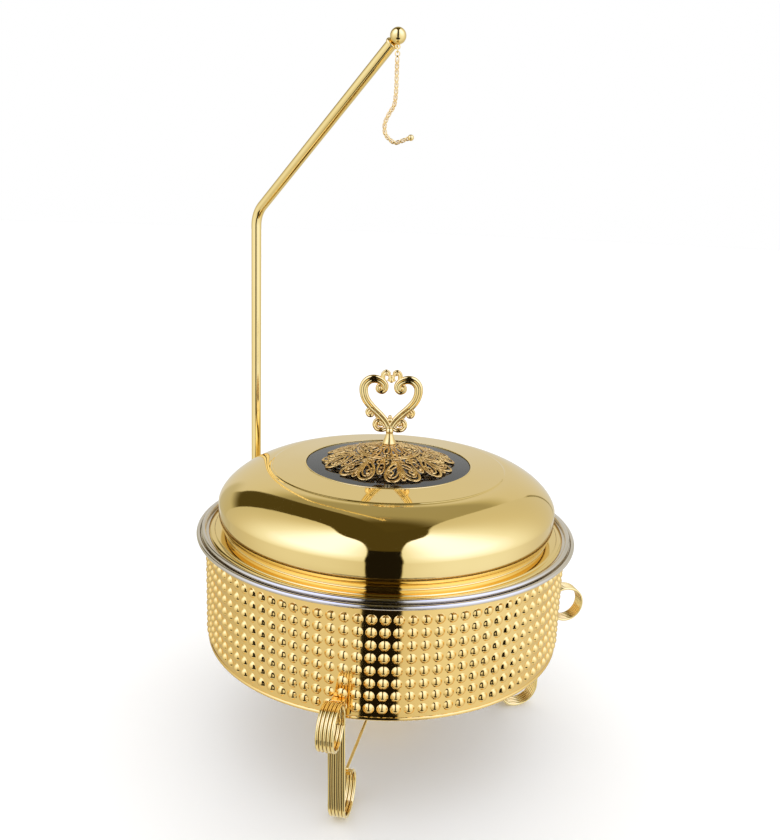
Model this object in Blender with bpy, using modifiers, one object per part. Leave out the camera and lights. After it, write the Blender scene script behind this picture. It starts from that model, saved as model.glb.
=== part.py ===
"""Round chafing dish with a hanging lid.

A drum on three scroll legs holds a water pan, a food pan and a domed lid with a window. A pole
stands in a socket beside the drum, and its arm carries a lid hook over the dish.
Metres, +Z up. The origin is on the floor under the middle of the outline, the front faces -Y.
"""
import math

import bmesh
import bpy
from mathutils import Matrix, Vector

# Fits
TOUCH = 0.0003            # gap between pieces that touch
RUNNING = 0.0004          # gap round a piece that turns or slides
ROUND_STEPS = 48          # facets round the large turned pieces
SMALL_STEPS = 16          # facets round the small turned pieces

# Drum
DRUM_RADIUS = 0.1785
DRUM_BOTTOM = 0.1115      # height of the drum's lower edge above the floor
DRUM_HEIGHT = 0.1102
DRUM_WALL = 0.0012
DRUM_BEAD = 0.0018        # radius of the rolled lower edge

# Water pan and food pan
RIM_OVERHANG = 0.0115     # how far the water pan's rim stands out past the drum
WATER_BEAD = 0.0022
FOOD_BEAD = 0.0023
PAN_SHEET = 0.0008
WATER_PAN_DEPTH = 0.069
FOOD_PAN_DEPTH = 0.052
WATER_SIDE_GAP = 0.0038   # drum wall to water pan wall
FOOD_SIDE_GAP = 0.0072    # water pan wall to food pan wall
PAN_CORNER = 0.014

# Lid
LID_SHEET = 0.0008
LID_RISE = 0.0648         # flange top to the window's edge
FLANGE_WIDTH = 0.0155
FLANGE_STEP = 0.001
FLANGE_LIP = 0.0056       # flat outer part of the flange
FLANGE_SIDE_GAP = 0.0026  # flange edge to the food pan's bead
LID_BULGE = 0.0058        # how far the dome swells past its mouth
LID_TUCK_POWER = 6.0      # how late the wall turns in to the mouth, 1 is a straight cone
LID_MOUTH_RISE = 0.0049
LID_BULGE_RISE = 0.0281
SHOULDER_POWER = 1.28     # roundness of the shoulder, 1 is a quarter ellipse
PLATEAU_RADIUS = 0.1165
PLATEAU_STEP = 0.0011
PLATEAU_STEP_RUN = 0.001
PLATEAU_FALL = 0.0023
WINDOW_RADIUS = 0.082
WINDOW_LEDGE = 0.0065
GLASS_THICKNESS = 0.003
GLASS_SINK = 0.0004       # how far the glass lies below the window's edge
SEAL_THICKNESS = 0.001

# Rosette and handle
ROSETTE_RADIUS = 0.0675
ROSETTE_RING = 0.031
ROSETTE_SHEET = 0.0012
ROSETTE_DOME = 0.019
ROSETTE_PETALS = 8
STUD_RADIUS = 0.003
STEM_BASE_RADIUS = 0.0066
STEM_HEIGHT = 0.0165
HEART_WIDTH = 0.057       # between the centre lines of the heart's sides
HEART_HEIGHT = 0.052
HEART_ROD = 0.0028
CROWN_RISE = 0.0065
WASHER_RADIUS = 0.009
WASHER_THICKNESS = 0.0015
NUT_RADIUS = 0.0068
NUT_HEIGHT = 0.004
STUD_TAIL = 0.0024

# Legs and brace
LEG_AZIMUTHS = {"front": -11.0, "right": 104.6, "rear": -135.0}
STRAP_WIDTH = 0.0162
STRAP_THICKNESS = 0.0032
SADDLE_THICKNESS = 0.0064
SADDLE_WIDTH = 0.012
SADDLE_HEIGHT = 0.012
UPPER_SCROLL = 0.0196     # radius of the scroll outside the drum
UPPER_SCROLL_RISE = 0.0078
FOOT_SCROLL = 0.0224
FOOT_SET_IN = 0.0077      # how far the foot stands in from the upper scroll
BRACE_RADIUS = 0.0015
BRACE_SIDE_SHIFT = 0.0023
BRACE_MEETING_RADIUS = 0.010

# Burner
PLATE_RADIUS = 0.045
PLATE_THICKNESS = 0.0015
CUP_RADIUS = 0.032
CUP_HEIGHT = 0.045
CUP_WALL = 0.0008
FUEL_HEIGHT = 0.027
EAR_RADIUS = 0.0045
EAR_HEIGHT = 0.008
PIN_RADIUS = 0.0015
COVER_THICKNESS = 0.0015
COVER_KNOB_HEIGHT = 0.009

# Pole, socket and hook
POLE_AZIMUTH = -130.0
POLE_RADIUS = 0.0054
POLE_OFFSET = 0.0220      # pole axis to the drum's wall
BEND_HEIGHT = 0.5263
BEND_RADIUS = 0.028
BALL_HEIGHT = 0.6901
BALL_REACH_SHORT = 0.008  # how far the ball stays short of the drum's axis
BALL_RADIUS = 0.0075
COLLAR_RADIUS = 0.0063
COLLAR_LENGTH = 0.0022
COLLAR_EASE = 0.0008
SOCKET_WALL = 0.0025
SOCKET_LENGTH = 0.047
SOCKET_DROP = 0.0257      # drum top to the socket's mouth
BRACKET_WIDTH = 0.020
SCREW_RADIUS = 0.002
SCREW_KNOB_RADIUS = 0.0065
SCREW_KNOB_LENGTH = 0.008
SCREW_NECK = 0.002        # socket to the knob
LINK_RADIUS = 0.0020      # eyes on the ball and on the hook
LOOSE_RING_RADIUS = 0.0026
LINK_WIRE = 0.0006
HOOK_ROD = 0.0017
HOOK_SHANK = 0.0288       # straight stretch above the hook's bend
HOOK_BEND = 0.0445        # height of the bent stretch
HOOK_SIDE = 0.0094        # how far the bend swings to the side
HOOK_TIP = 0.0152         # how far the tip stands out to the other side
HOOK_BEAD = 0.0029

# Heights and radii that follow from the sizes above
DRUM_TOP = DRUM_BOTTOM + DRUM_HEIGHT
RIM_RADIUS = DRUM_RADIUS + RIM_OVERHANG
WATER_FLANGE = DRUM_TOP + TOUCH
WATER_WALL_RADIUS = DRUM_RADIUS - DRUM_WALL - WATER_SIDE_GAP
WATER_FLOOR = WATER_FLANGE - WATER_PAN_DEPTH
WATER_BEAD_RADIUS = RIM_RADIUS - WATER_BEAD
FOOD_FLANGE = WATER_FLANGE + PAN_SHEET + TOUCH
FOOD_WALL_RADIUS = WATER_WALL_RADIUS - PAN_SHEET - FOOD_SIDE_GAP
FOOD_FLOOR = FOOD_FLANGE - FOOD_PAN_DEPTH
FOOD_BEAD_RADIUS = WATER_BEAD_RADIUS - WATER_BEAD - TOUCH - FOOD_BEAD
LID_FLANGE = FOOD_FLANGE + PAN_SHEET + TOUCH + LID_SHEET
LID_EDGE_RADIUS = FOOD_BEAD_RADIUS - FOOD_BEAD - FLANGE_SIDE_GAP
LID_MOUTH_RADIUS = LID_EDGE_RADIUS - FLANGE_WIDTH
WINDOW_HEIGHT = LID_FLANGE + LID_RISE
PLATEAU_HEIGHT = WINDOW_HEIGHT - PLATEAU_FALL
GLASS_TOP = WINDOW_HEIGHT - GLASS_SINK
GLASS_BOTTOM = GLASS_TOP - GLASS_THICKNESS
SEAL_TOP = GLASS_BOTTOM - TOUCH
LEDGE_HEIGHT = SEAL_TOP - SEAL_THICKNESS - TOUCH
ROSETTE_EDGE = GLASS_TOP + TOUCH
ROSETTE_CENTRE_TOP = ROSETTE_EDGE + ROSETTE_DOME + ROSETTE_SHEET
STEM_BASE = ROSETTE_CENTRE_TOP + TOUCH
HEART_BASE = STEM_BASE + STEM_HEIGHT
WASHER_TOP = GLASS_BOTTOM - TOUCH
NUT_TOP = WASHER_TOP - WASHER_THICKNESS - TOUCH
STRAP_RADIUS = DRUM_RADIUS + 3 * TOUCH + SADDLE_THICKNESS + STRAP_THICKNESS / 2
UPPER_SCROLL_HEIGHT = DRUM_BOTTOM + UPPER_SCROLL_RISE
FOOT_RADIUS = STRAP_RADIUS - FOOT_SET_IN
FOOT_SCROLL_HEIGHT = FOOT_SCROLL + STRAP_THICKNESS / 2
POLE_DISTANCE = DRUM_RADIUS + POLE_OFFSET
SOCKET_MOUTH = DRUM_TOP - SOCKET_DROP
SOCKET_RADIUS = POLE_RADIUS + RUNNING + SOCKET_WALL
BALL_BOTTOM = BALL_HEIGHT - BALL_RADIUS


def clear_scene():
    """Removes whatever the file starts with."""
    for item in list(bpy.data.objects):
        bpy.data.objects.remove(item, do_unlink=True)


def new_collection(name):
    """Makes a collection in the scene."""
    group = bpy.data.collections.new(name)
    bpy.context.scene.collection.children.link(group)
    return group


clear_scene()
PARTS = new_collection("chafing_dish")
GUIDES = new_collection("chafing_dish_cutters")


def metal(name, colour, roughness, metallic=1.0):
    """Makes one Principled material."""
    made = bpy.data.materials.new(name)
    made.use_nodes = True
    shader = made.node_tree.nodes["Principled BSDF"]
    shader.inputs["Base Color"].default_value = (*colour, 1.0)
    shader.inputs["Roughness"].default_value = roughness
    shader.inputs["Metallic"].default_value = metallic
    return made


FINISHES = {
    "gold": ((0.86, 0.63, 0.25), 0.08, 1.0),
    "steel": ((0.66, 0.67, 0.68), 0.15, 1.0),
    "smoked_glass": ((0.05, 0.055, 0.06), 0.05, 0.0),
    "rubber": ((0.03, 0.03, 0.03), 0.6, 0.0),
    "fuel": ((0.75, 0.55, 0.65), 0.4, 0.0),
}


def dress(piece, finish):
    """Gives a piece its own material and smooth shading across its soft edges."""
    colour, roughness, metallic = FINISHES[finish]
    piece.data.materials.clear()
    piece.data.materials.append(metal(f"{piece.name}_{finish}", colour, roughness, metallic))
    if piece.type == "MESH":
        piece.data.shade_smooth()
        piece.data.set_sharp_from_angle(angle=math.radians(35))
    return piece


def place(azimuth, radius, height=0.0):
    """A point at an azimuth in degrees, 0 at the front and positive towards +X."""
    turn = math.radians(azimuth)
    return Vector((radius * math.sin(turn), -radius * math.cos(turn), height))


def facing(azimuth):
    """Turns a shape drawn in its XZ plane so that its +X points outwards at an azimuth."""
    return Matrix.Rotation(math.radians(azimuth - 90.0), 4, "Z")


def arc(centre_x, centre_z, radius, start, end, steps):
    """Points along an arc, with angles in degrees."""
    angles = [math.radians(start + (end - start) * i / steps) for i in range(steps + 1)]
    return [(centre_x + radius * math.cos(a), centre_z + radius * math.sin(a)) for a in angles]


def add_mesh(name, shape, group=None):
    """Puts a bmesh into a new object."""
    mesh = bpy.data.meshes.new(name)
    shape.to_mesh(mesh)
    shape.free()
    piece = bpy.data.objects.new(name, mesh)
    (group or PARTS).objects.link(piece)
    return piece


def guide(piece):
    """Marks an object as a cutter."""
    piece.hide_render = True
    piece.display_type = "WIRE"
    for group in list(piece.users_collection):
        group.objects.unlink(piece)
    GUIDES.objects.link(piece)
    return piece


def turned(name, profile, closed, steps=ROUND_STEPS, position=None):
    """A profile in (radius, height) turned about +Z."""
    shape = bmesh.new()
    points = [shape.verts.new((r, 0.0, z)) for r, z in profile]
    for first, second in zip(points, points[1:]):
        shape.edges.new((first, second))
    if closed:
        shape.edges.new((points[-1], points[0]))
    piece = add_mesh(name, shape)
    screw = piece.modifiers.new("Turn", "SCREW")
    screw.steps = steps
    screw.render_steps = steps
    screw.use_merge_vertices = True
    screw.merge_threshold = 0.00001
    if position is not None:
        piece.matrix_world = position
    return piece


def rod(name, points, radius, sides=2):
    """A round rod along a route of points, with closed ends."""
    curve = bpy.data.curves.new(name, "CURVE")
    curve.dimensions = "3D"
    curve.bevel_depth = radius
    curve.bevel_resolution = sides
    curve.use_fill_caps = True
    line = curve.splines.new("POLY")
    line.points.add(len(points) - 1)
    for point, where in zip(line.points, points):
        point.co = (*where, 1.0)
    piece = bpy.data.objects.new(name, curve)
    PARTS.objects.link(piece)
    return piece


def solid(piece):
    """Turns a curve object into a mesh object of the same name, with its caps welded."""
    bpy.context.view_layer.update()
    seen = piece.evaluated_get(bpy.context.evaluated_depsgraph_get())
    mesh = bpy.data.meshes.new_from_object(seen)
    shape = bmesh.new()
    shape.from_mesh(mesh)
    bmesh.ops.remove_doubles(shape, verts=shape.verts, dist=0.00001)
    bmesh.ops.recalc_face_normals(shape, faces=shape.faces)
    shape.to_mesh(mesh)
    shape.free()
    name = piece.name
    matrix = piece.matrix_world.copy()
    bpy.data.objects.remove(piece, do_unlink=True)
    made = bpy.data.objects.new(name, mesh)
    made.matrix_world = matrix
    PARTS.objects.link(made)
    return made


def combine(piece, other, operation="UNION"):
    """Joins another shape to a piece, or cuts it away."""
    join = piece.modifiers.new(operation.title(), "BOOLEAN")
    join.operation = operation
    join.object = guide(other)
    return piece


def cylinder(name, radius, length, steps=SMALL_STEPS):
    """An upright cylinder standing on the origin, as a mesh."""
    shape = bmesh.new()
    lift = Matrix.Translation((0.0, 0.0, length / 2))
    bmesh.ops.create_cone(shape, cap_ends=True, segments=steps, radius1=radius, radius2=radius,
                          depth=length, matrix=lift)
    return add_mesh(name, shape)


def block(name, width, depth, height):
    """A box standing on the origin and reaching out along +X from it."""
    shape = bmesh.new()
    fit = Matrix.Translation((depth / 2, 0.0, height / 2)) @ Matrix.Diagonal((depth, width, height, 1))
    bmesh.ops.create_cube(shape, size=1.0, matrix=fit)
    return add_mesh(name, shape)


def ring(name, major, minor, major_steps=14, minor_steps=8):
    """A round wire ring in its own XZ plane."""
    bpy.ops.mesh.primitive_torus_add(major_segments=major_steps, minor_segments=minor_steps,
                                     major_radius=major, minor_radius=minor,
                                     rotation=(math.pi / 2, 0.0, 0.0))
    piece = bpy.context.object
    piece.name = name
    for group in list(piece.users_collection):
        group.objects.unlink(piece)
    PARTS.objects.link(piece)
    return piece


def smooth_route(points, per_span=4):
    """Points on a smooth curve through a few chosen points."""
    padded = [points[0]] + list(points) + [points[-1]]
    route = []
    for before, start, end, after in zip(padded, padded[1:], padded[2:], padded[3:]):
        for step in range(per_span):
            t = step / per_span
            route.append(tuple(
                0.5 * (2 * b + (c - a) * t + (2 * a - 5 * b + 4 * c - d) * t ** 2
                       + (3 * b - a - 3 * c + d) * t ** 3)
                for a, b, c, d in zip(before, start, end, after)))
    route.append(tuple(points[-1]))
    return route


def drum():
    """The drum's wall with its rolled lower edge."""
    inner = DRUM_RADIUS - DRUM_WALL
    bead_centre = DRUM_RADIUS + TOUCH - DRUM_BEAD / 2
    bead_height = DRUM_BOTTOM + DRUM_BEAD
    outer_start = math.degrees(math.acos((DRUM_RADIUS - bead_centre) / DRUM_BEAD))
    inner_end = -math.degrees(math.acos((inner - bead_centre) / DRUM_BEAD))
    profile = [(DRUM_RADIUS, DRUM_TOP)]
    profile += arc(bead_centre, bead_height, DRUM_BEAD, outer_start, inner_end - 20, 7)
    profile += [(inner, DRUM_TOP)]
    dress(turned("drum_band", profile, closed=True), "gold")


def pan(name, bead_radius, bead, bead_height, flange, wall_radius, floor):
    """A pressed pan with a flat flange and a rolled bead round it."""
    top = flange + PAN_SHEET
    start = 180 - math.degrees(math.asin((top - bead_height) / bead))
    end = -180 + math.degrees(math.asin((bead_height - flange) / bead))
    corner_x = wall_radius - PAN_SHEET - PAN_CORNER
    corner_z = floor + PAN_SHEET + PAN_CORNER
    profile = [(0.0, floor + PAN_SHEET)]
    profile += arc(corner_x, corner_z, PAN_CORNER, -90, 0, 3)
    profile += [(wall_radius - PAN_SHEET, top)]
    profile += arc(bead_radius, bead_height, bead, start, end, 6)
    profile += [(wall_radius, flange)]
    profile += arc(corner_x, corner_z, PAN_CORNER + PAN_SHEET, 0, -90, 3)
    profile += [(0.0, floor)]
    dress(turned(name, profile, closed=False), "steel")


def pans():
    """The water pan on the drum's edge and the food pan on the water pan's flange."""
    pan("water_pan", WATER_BEAD_RADIUS, WATER_BEAD, WATER_FLANGE + TOUCH, WATER_FLANGE,
        WATER_WALL_RADIUS, WATER_FLOOR)
    pan("food_pan", FOOD_BEAD_RADIUS, FOOD_BEAD, FOOD_FLANGE + FOOD_BEAD, FOOD_FLANGE,
        FOOD_WALL_RADIUS, FOOD_FLOOR)


def lid_dome():
    """The lid: window ledge, plateau, rounded shoulder, tucked mouth and flat flange."""
    bulge_radius = LID_MOUTH_RADIUS + LID_BULGE
    bulge_height = LID_FLANGE + LID_BULGE_RISE
    mouth_height = LID_FLANGE + LID_MOUTH_RISE
    shoulder_top = PLATEAU_HEIGHT - PLATEAU_STEP
    step_radius = PLATEAU_RADIUS + PLATEAU_STEP_RUN
    lip = WINDOW_RADIUS + RUNNING
    profile = [(WINDOW_RADIUS - WINDOW_LEDGE, LEDGE_HEIGHT), (lip, LEDGE_HEIGHT),
               (lip, WINDOW_HEIGHT), (PLATEAU_RADIUS, PLATEAU_HEIGHT)]
    for step in range(8):
        turn = math.pi / 2 * step / 7
        profile.append((
            step_radius + (bulge_radius - step_radius) * math.sin(turn) ** SHOULDER_POWER,
            bulge_height + (shoulder_top - bulge_height) * math.cos(turn) ** SHOULDER_POWER))
    for step in range(1, 6):
        t = step / 5
        profile.append((bulge_radius - LID_BULGE * t ** LID_TUCK_POWER,
                        bulge_height + (mouth_height - bulge_height) * t))
    lip_radius = LID_EDGE_RADIUS - FLANGE_LIP
    profile += [(LID_MOUTH_RADIUS + LID_SHEET, LID_FLANGE + FLANGE_STEP),
                (lip_radius - FLANGE_STEP, LID_FLANGE + FLANGE_STEP),
                (lip_radius, LID_FLANGE), (LID_EDGE_RADIUS, LID_FLANGE)]
    lid = turned("lid_dome", profile, closed=False)
    wall = lid.modifiers.new("Sheet", "SOLIDIFY")
    wall.thickness = LID_SHEET
    wall.offset = -1.0
    wall.use_even_offset = True
    dress(lid, "gold")


def window():
    """The smoked glass disc and the seal that it lies on."""
    hole = STUD_RADIUS + RUNNING
    glass = [(WINDOW_RADIUS, GLASS_TOP), (WINDOW_RADIUS, GLASS_BOTTOM),
             (hole, GLASS_BOTTOM), (hole, GLASS_TOP)]
    dress(turned("window_glass", glass, closed=True), "smoked_glass")
    seal_inner = WINDOW_RADIUS - WINDOW_LEDGE + RUNNING
    seal = [(WINDOW_RADIUS, SEAL_TOP), (WINDOW_RADIUS, SEAL_TOP - SEAL_THICKNESS),
            (seal_inner, SEAL_TOP - SEAL_THICKNESS), (seal_inner, SEAL_TOP)]
    dress(turned("window_seal", seal, closed=True), "rubber")


def add_outline(curve, points):
    """Adds one closed outline to a flat curve."""
    line = curve.splines.new("POLY")
    line.points.add(len(points) - 1)
    for point, (x, y) in zip(line.points, points):
        point.co = (x, y, 0.0, 1.0)
    line.use_cyclic_u = True


def piercings():
    """Upright cutters for the rosette: a pair of eyes in each petal, notches and inner windows."""
    shape = bmesh.new()
    depth = 3 * (ROSETTE_DOME + ROSETTE_SHEET)
    band = ROSETTE_RADIUS - ROSETTE_RING
    lobes = 2 * ROSETTE_PETALS
    rows = [(ROSETTE_RING + 0.60 * band, 0.19 * band, lobes, 0.5),
            (ROSETTE_RADIUS + 0.04 * band, 0.13 * band, lobes, 0.0),
            (0.62 * ROSETTE_RING, 0.17 * ROSETTE_RING, ROSETTE_PETALS, 0.0)]
    for reach, size, count, phase in rows:
        for i in range(count):
            turn = 2 * math.pi * (i + phase) / count
            spot = Matrix.Translation((reach * math.cos(turn), reach * math.sin(turn), ROSETTE_EDGE))
            bmesh.ops.create_cone(shape, cap_ends=True, segments=8, radius1=size, radius2=size,
                                  depth=depth, matrix=spot)
    return add_mesh("piercings", shape)


def rosette():
    """The openwork rosette, a thin dome over the window with its edge on the glass."""
    hole = STUD_RADIUS + RUNNING
    rings = 6
    profile = []
    for i in range(rings + 1):
        radius = hole + (ROSETTE_RADIUS - hole) * i / rings
        rise = ROSETTE_DOME * (1 - (radius / ROSETTE_RADIUS) ** 1.3)
        profile.append((radius, ROSETTE_EDGE + ROSETTE_SHEET + rise))
    piece = turned("filigree_rosette", profile, closed=False, steps=6 * ROSETTE_PETALS)
    sheet = piece.modifiers.new("Sheet", "SOLIDIFY")
    sheet.thickness = ROSETTE_SHEET
    sheet.offset = -1.0
    combine(piece, piercings(), "DIFFERENCE")
    dress(piece, "gold")


def heart_route():
    """The heart's rod, from its left inner curl round the bottom to its right inner curl."""
    half = HEART_WIDTH / 2
    right = [(0.0, 0.0), (0.36 * half, 0.20 * HEART_HEIGHT), (0.82 * half, 0.47 * HEART_HEIGHT),
             (half, 0.70 * HEART_HEIGHT), (0.80 * half, 0.93 * HEART_HEIGHT),
             (0.46 * half, 0.94 * HEART_HEIGHT), (0.24 * half, 0.80 * HEART_HEIGHT),
             (0.33 * half, 0.70 * HEART_HEIGHT)]
    left = [(-x, z) for x, z in reversed(right[1:])]
    return [(x, 0.0, HEART_BASE + z) for x, z in smooth_route(left + right, 3)]


def handle():
    """The heart handle with its crown, flared stem and the stud through the window."""
    piece = solid(rod("lid_handle", heart_route(), HEART_ROD))
    shoulder = 0.36 * HEART_WIDTH / 2
    crown_foot = HEART_BASE + 0.93 * HEART_HEIGHT
    crown_top = HEART_BASE + HEART_HEIGHT + CROWN_RISE
    crown = [(-shoulder, 0.0, crown_foot), (-0.5 * shoulder, 0.0, crown_top - HEART_ROD),
             (0.0, 0.0, crown_foot), (0.5 * shoulder, 0.0, crown_top - HEART_ROD),
             (shoulder, 0.0, crown_foot)]
    combine(piece, solid(rod("crown", smooth_route(crown, 3), 0.8 * HEART_ROD)))
    tail = NUT_TOP - NUT_HEIGHT - STUD_TAIL
    waist = 0.5 * STEM_BASE_RADIUS
    stem = [(0.0, HEART_BASE + HEART_ROD), (waist, HEART_BASE + 0.5 * HEART_ROD),
            (waist, STEM_BASE + 0.6 * STEM_HEIGHT), (0.8 * STEM_BASE_RADIUS, STEM_BASE + 0.2 * STEM_HEIGHT),
            (STEM_BASE_RADIUS, STEM_BASE), (STUD_RADIUS, STEM_BASE), (STUD_RADIUS, tail), (0.0, tail)]
    combine(piece, turned("stem", stem, closed=False, steps=SMALL_STEPS))
    dress(piece, "gold")


def handle_fixings():
    """The washer and the nut under the window."""
    hole = STUD_RADIUS + RUNNING
    washer = [(WASHER_RADIUS, WASHER_TOP), (WASHER_RADIUS, WASHER_TOP - WASHER_THICKNESS),
              (hole, WASHER_TOP - WASHER_THICKNESS), (hole, WASHER_TOP)]
    dress(turned("handle_washer", washer, closed=True, steps=SMALL_STEPS), "rubber")
    flat_sides = 6
    nut_hole = hole / math.cos(math.pi / flat_sides)
    nut = [(NUT_RADIUS, NUT_TOP), (NUT_RADIUS, NUT_TOP - NUT_HEIGHT),
           (nut_hole, NUT_TOP - NUT_HEIGHT), (nut_hole, NUT_TOP)]
    dress(turned("handle_nut", nut, closed=True, steps=flat_sides), "steel")


def scroll(centre_x, centre_z, radius, start, end, end_share, steps):
    """A scroll that tightens over its last half, from its free end to where it is widest."""
    points = []
    for i in range(steps + 1):
        share = 1 - i / steps
        size = radius * (1 - (1 - end_share) * max(0.0, share - 0.45) / 0.55)
        turn = math.radians(start + (end - start) * i / steps)
        points.append((centre_x + size * math.cos(turn), centre_z + size * math.sin(turn)))
    return points


def leg_route():
    """The strap's middle line in (radius, height), from the upper scroll to the foot's end."""
    upper = scroll(STRAP_RADIUS + UPPER_SCROLL, UPPER_SCROLL_HEIGHT, UPPER_SCROLL, -158, 180, 0.85, 18)
    foot = scroll(FOOT_RADIUS - FOOT_SCROLL, FOOT_SCROLL_HEIGHT, FOOT_SCROLL, -260, 0, 0.72, 16)
    upright = []
    for i in range(1, 5):
        t = i / 5
        ease = t * t * (3 - 2 * t)
        upright.append((STRAP_RADIUS - FOOT_SET_IN * ease,
                        UPPER_SCROLL_HEIGHT + (FOOT_SCROLL_HEIGHT - UPPER_SCROLL_HEIGHT) * t))
    return upper + upright + foot[::-1]


def strap_section():
    """The strap's section, a flat bar with softened corners, as a bevel guide."""
    curve = bpy.data.curves.new("strap_section", "CURVE")
    curve.dimensions = "2D"
    half_t = STRAP_THICKNESS / 2
    half_w = STRAP_WIDTH / 2
    soft = 0.4 * half_t
    add_outline(curve, [(half_t, -half_w + soft), (half_t, half_w - soft), (half_t - soft, half_w),
                        (soft - half_t, half_w), (-half_t, half_w - soft), (-half_t, soft - half_w),
                        (soft - half_t, -half_w), (half_t - soft, -half_w)])
    section = bpy.data.objects.new("strap_section", curve)
    PARTS.objects.link(section)
    return guide(section)


def legs():
    """Three scroll legs, each with its saddle on the drum and a brace rod to the middle."""
    section = strap_section()
    route = leg_route()
    foot_top = max(z for r, z in route[-6:]) + STRAP_THICKNESS / 2
    foot_end = route[-1][0]
    brace_height = foot_top + TOUCH + BRACE_RADIUS
    for side, azimuth in LEG_AZIMUTHS.items():
        curve = bpy.data.curves.new(f"leg_{side}", "CURVE")
        curve.dimensions = "2D"
        curve.bevel_mode = "OBJECT"
        curve.bevel_object = section
        curve.use_fill_caps = True
        line = curve.splines.new("POLY")
        line.points.add(len(route) - 1)
        for point, (r, z) in zip(line.points, route):
            point.co = (r, z, 0.0, 1.0)
        leg = bpy.data.objects.new(f"leg_{side}", curve)
        PARTS.objects.link(leg)
        leg.matrix_world = facing(azimuth) @ Matrix.Rotation(math.pi / 2, 4, "X")
        dress(solid(leg), "gold")
        saddle = block(f"leg_saddle_{side}", SADDLE_WIDTH, SADDLE_THICKNESS, SADDLE_HEIGHT)
        saddle_start = STRAP_RADIUS - STRAP_THICKNESS / 2 - TOUCH - SADDLE_THICKNESS
        saddle_foot = place(azimuth, saddle_start, UPPER_SCROLL_HEIGHT)
        saddle.matrix_world = Matrix.Translation(saddle_foot) @ facing(azimuth)
        dress(saddle, "gold")
        shift = place(azimuth + 90, BRACE_SIDE_SHIFT)
        ends = [place(azimuth, foot_end, brace_height) + shift,
                place(azimuth, BRACE_MEETING_RADIUS, brace_height) + shift]
        dress(rod(f"brace_rod_{side}", ends, BRACE_RADIUS), "gold")
    return brace_height + BRACE_RADIUS


def burner(rod_top):
    """The burner plate on the brace rods, and the fuel cup with its swinging cover."""
    plate_base = rod_top + TOUCH
    plate = cylinder("burner_plate", PLATE_RADIUS, PLATE_THICKNESS, steps=32)
    plate.location.z = plate_base
    dress(plate, "gold")
    cup_base = plate_base + PLATE_THICKNESS + TOUCH
    cup_top = cup_base + CUP_HEIGHT
    inner = CUP_RADIUS - CUP_WALL
    cup_profile = [(0.0, cup_base + CUP_WALL), (inner, cup_base + CUP_WALL), (inner, cup_top),
                   (CUP_RADIUS, cup_top), (CUP_RADIUS, cup_base), (0.0, cup_base)]
    cup = turned("burner_cup", cup_profile, closed=False, steps=32)
    pivot_x = CUP_RADIUS + EAR_RADIUS - CUP_WALL
    ear = cylinder("ear", EAR_RADIUS, EAR_HEIGHT)
    ear.location = (pivot_x, 0.0, cup_top - EAR_HEIGHT)
    combine(cup, ear)
    bore = cylinder("ear_bore", PIN_RADIUS + RUNNING, EAR_HEIGHT)
    bore.location = (pivot_x, 0.0, cup_top - 0.7 * EAR_HEIGHT)
    combine(cup, bore, "DIFFERENCE")
    dress(cup, "steel")
    fuel_base = cup_base + CUP_WALL + TOUCH
    fuel = cylinder("fuel_gel", inner - RUNNING, FUEL_HEIGHT, steps=32)
    fuel.location.z = fuel_base
    dress(fuel, "fuel")
    cover_base = cup_top + TOUCH
    cover = cylinder("burner_cover", CUP_RADIUS, COVER_THICKNESS, steps=32)
    cover.location.z = cover_base
    lug = cylinder("cover_lug", EAR_RADIUS, COVER_THICKNESS)
    lug.location = (pivot_x, 0.0, cover_base)
    combine(cover, lug)
    knob = cylinder("cover_knob", PIN_RADIUS * 2, COVER_KNOB_HEIGHT)
    knob.location = (-0.6 * CUP_RADIUS, 0.0, cover_base)
    combine(cover, knob)
    lug_bore = cylinder("lug_bore", PIN_RADIUS + RUNNING, 3 * COVER_THICKNESS)
    lug_bore.location = (pivot_x, 0.0, cover_base - COVER_THICKNESS)
    combine(cover, lug_bore, "DIFFERENCE")
    dress(cover, "steel")
    pin_foot = cup_top - 0.7 * EAR_HEIGHT + TOUCH
    head_base = cover_base + COVER_THICKNESS + TOUCH
    head_top = head_base + PIN_RADIUS
    pin = [(0.0, head_top), (2 * PIN_RADIUS, head_top), (2 * PIN_RADIUS, head_base),
           (PIN_RADIUS, head_base), (PIN_RADIUS, pin_foot), (0.0, pin_foot)]
    spot = Matrix.Translation((pivot_x, 0.0, 0.0))
    dress(turned("cover_pin", pin, closed=False, steps=SMALL_STEPS, position=spot), "steel")


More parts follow.
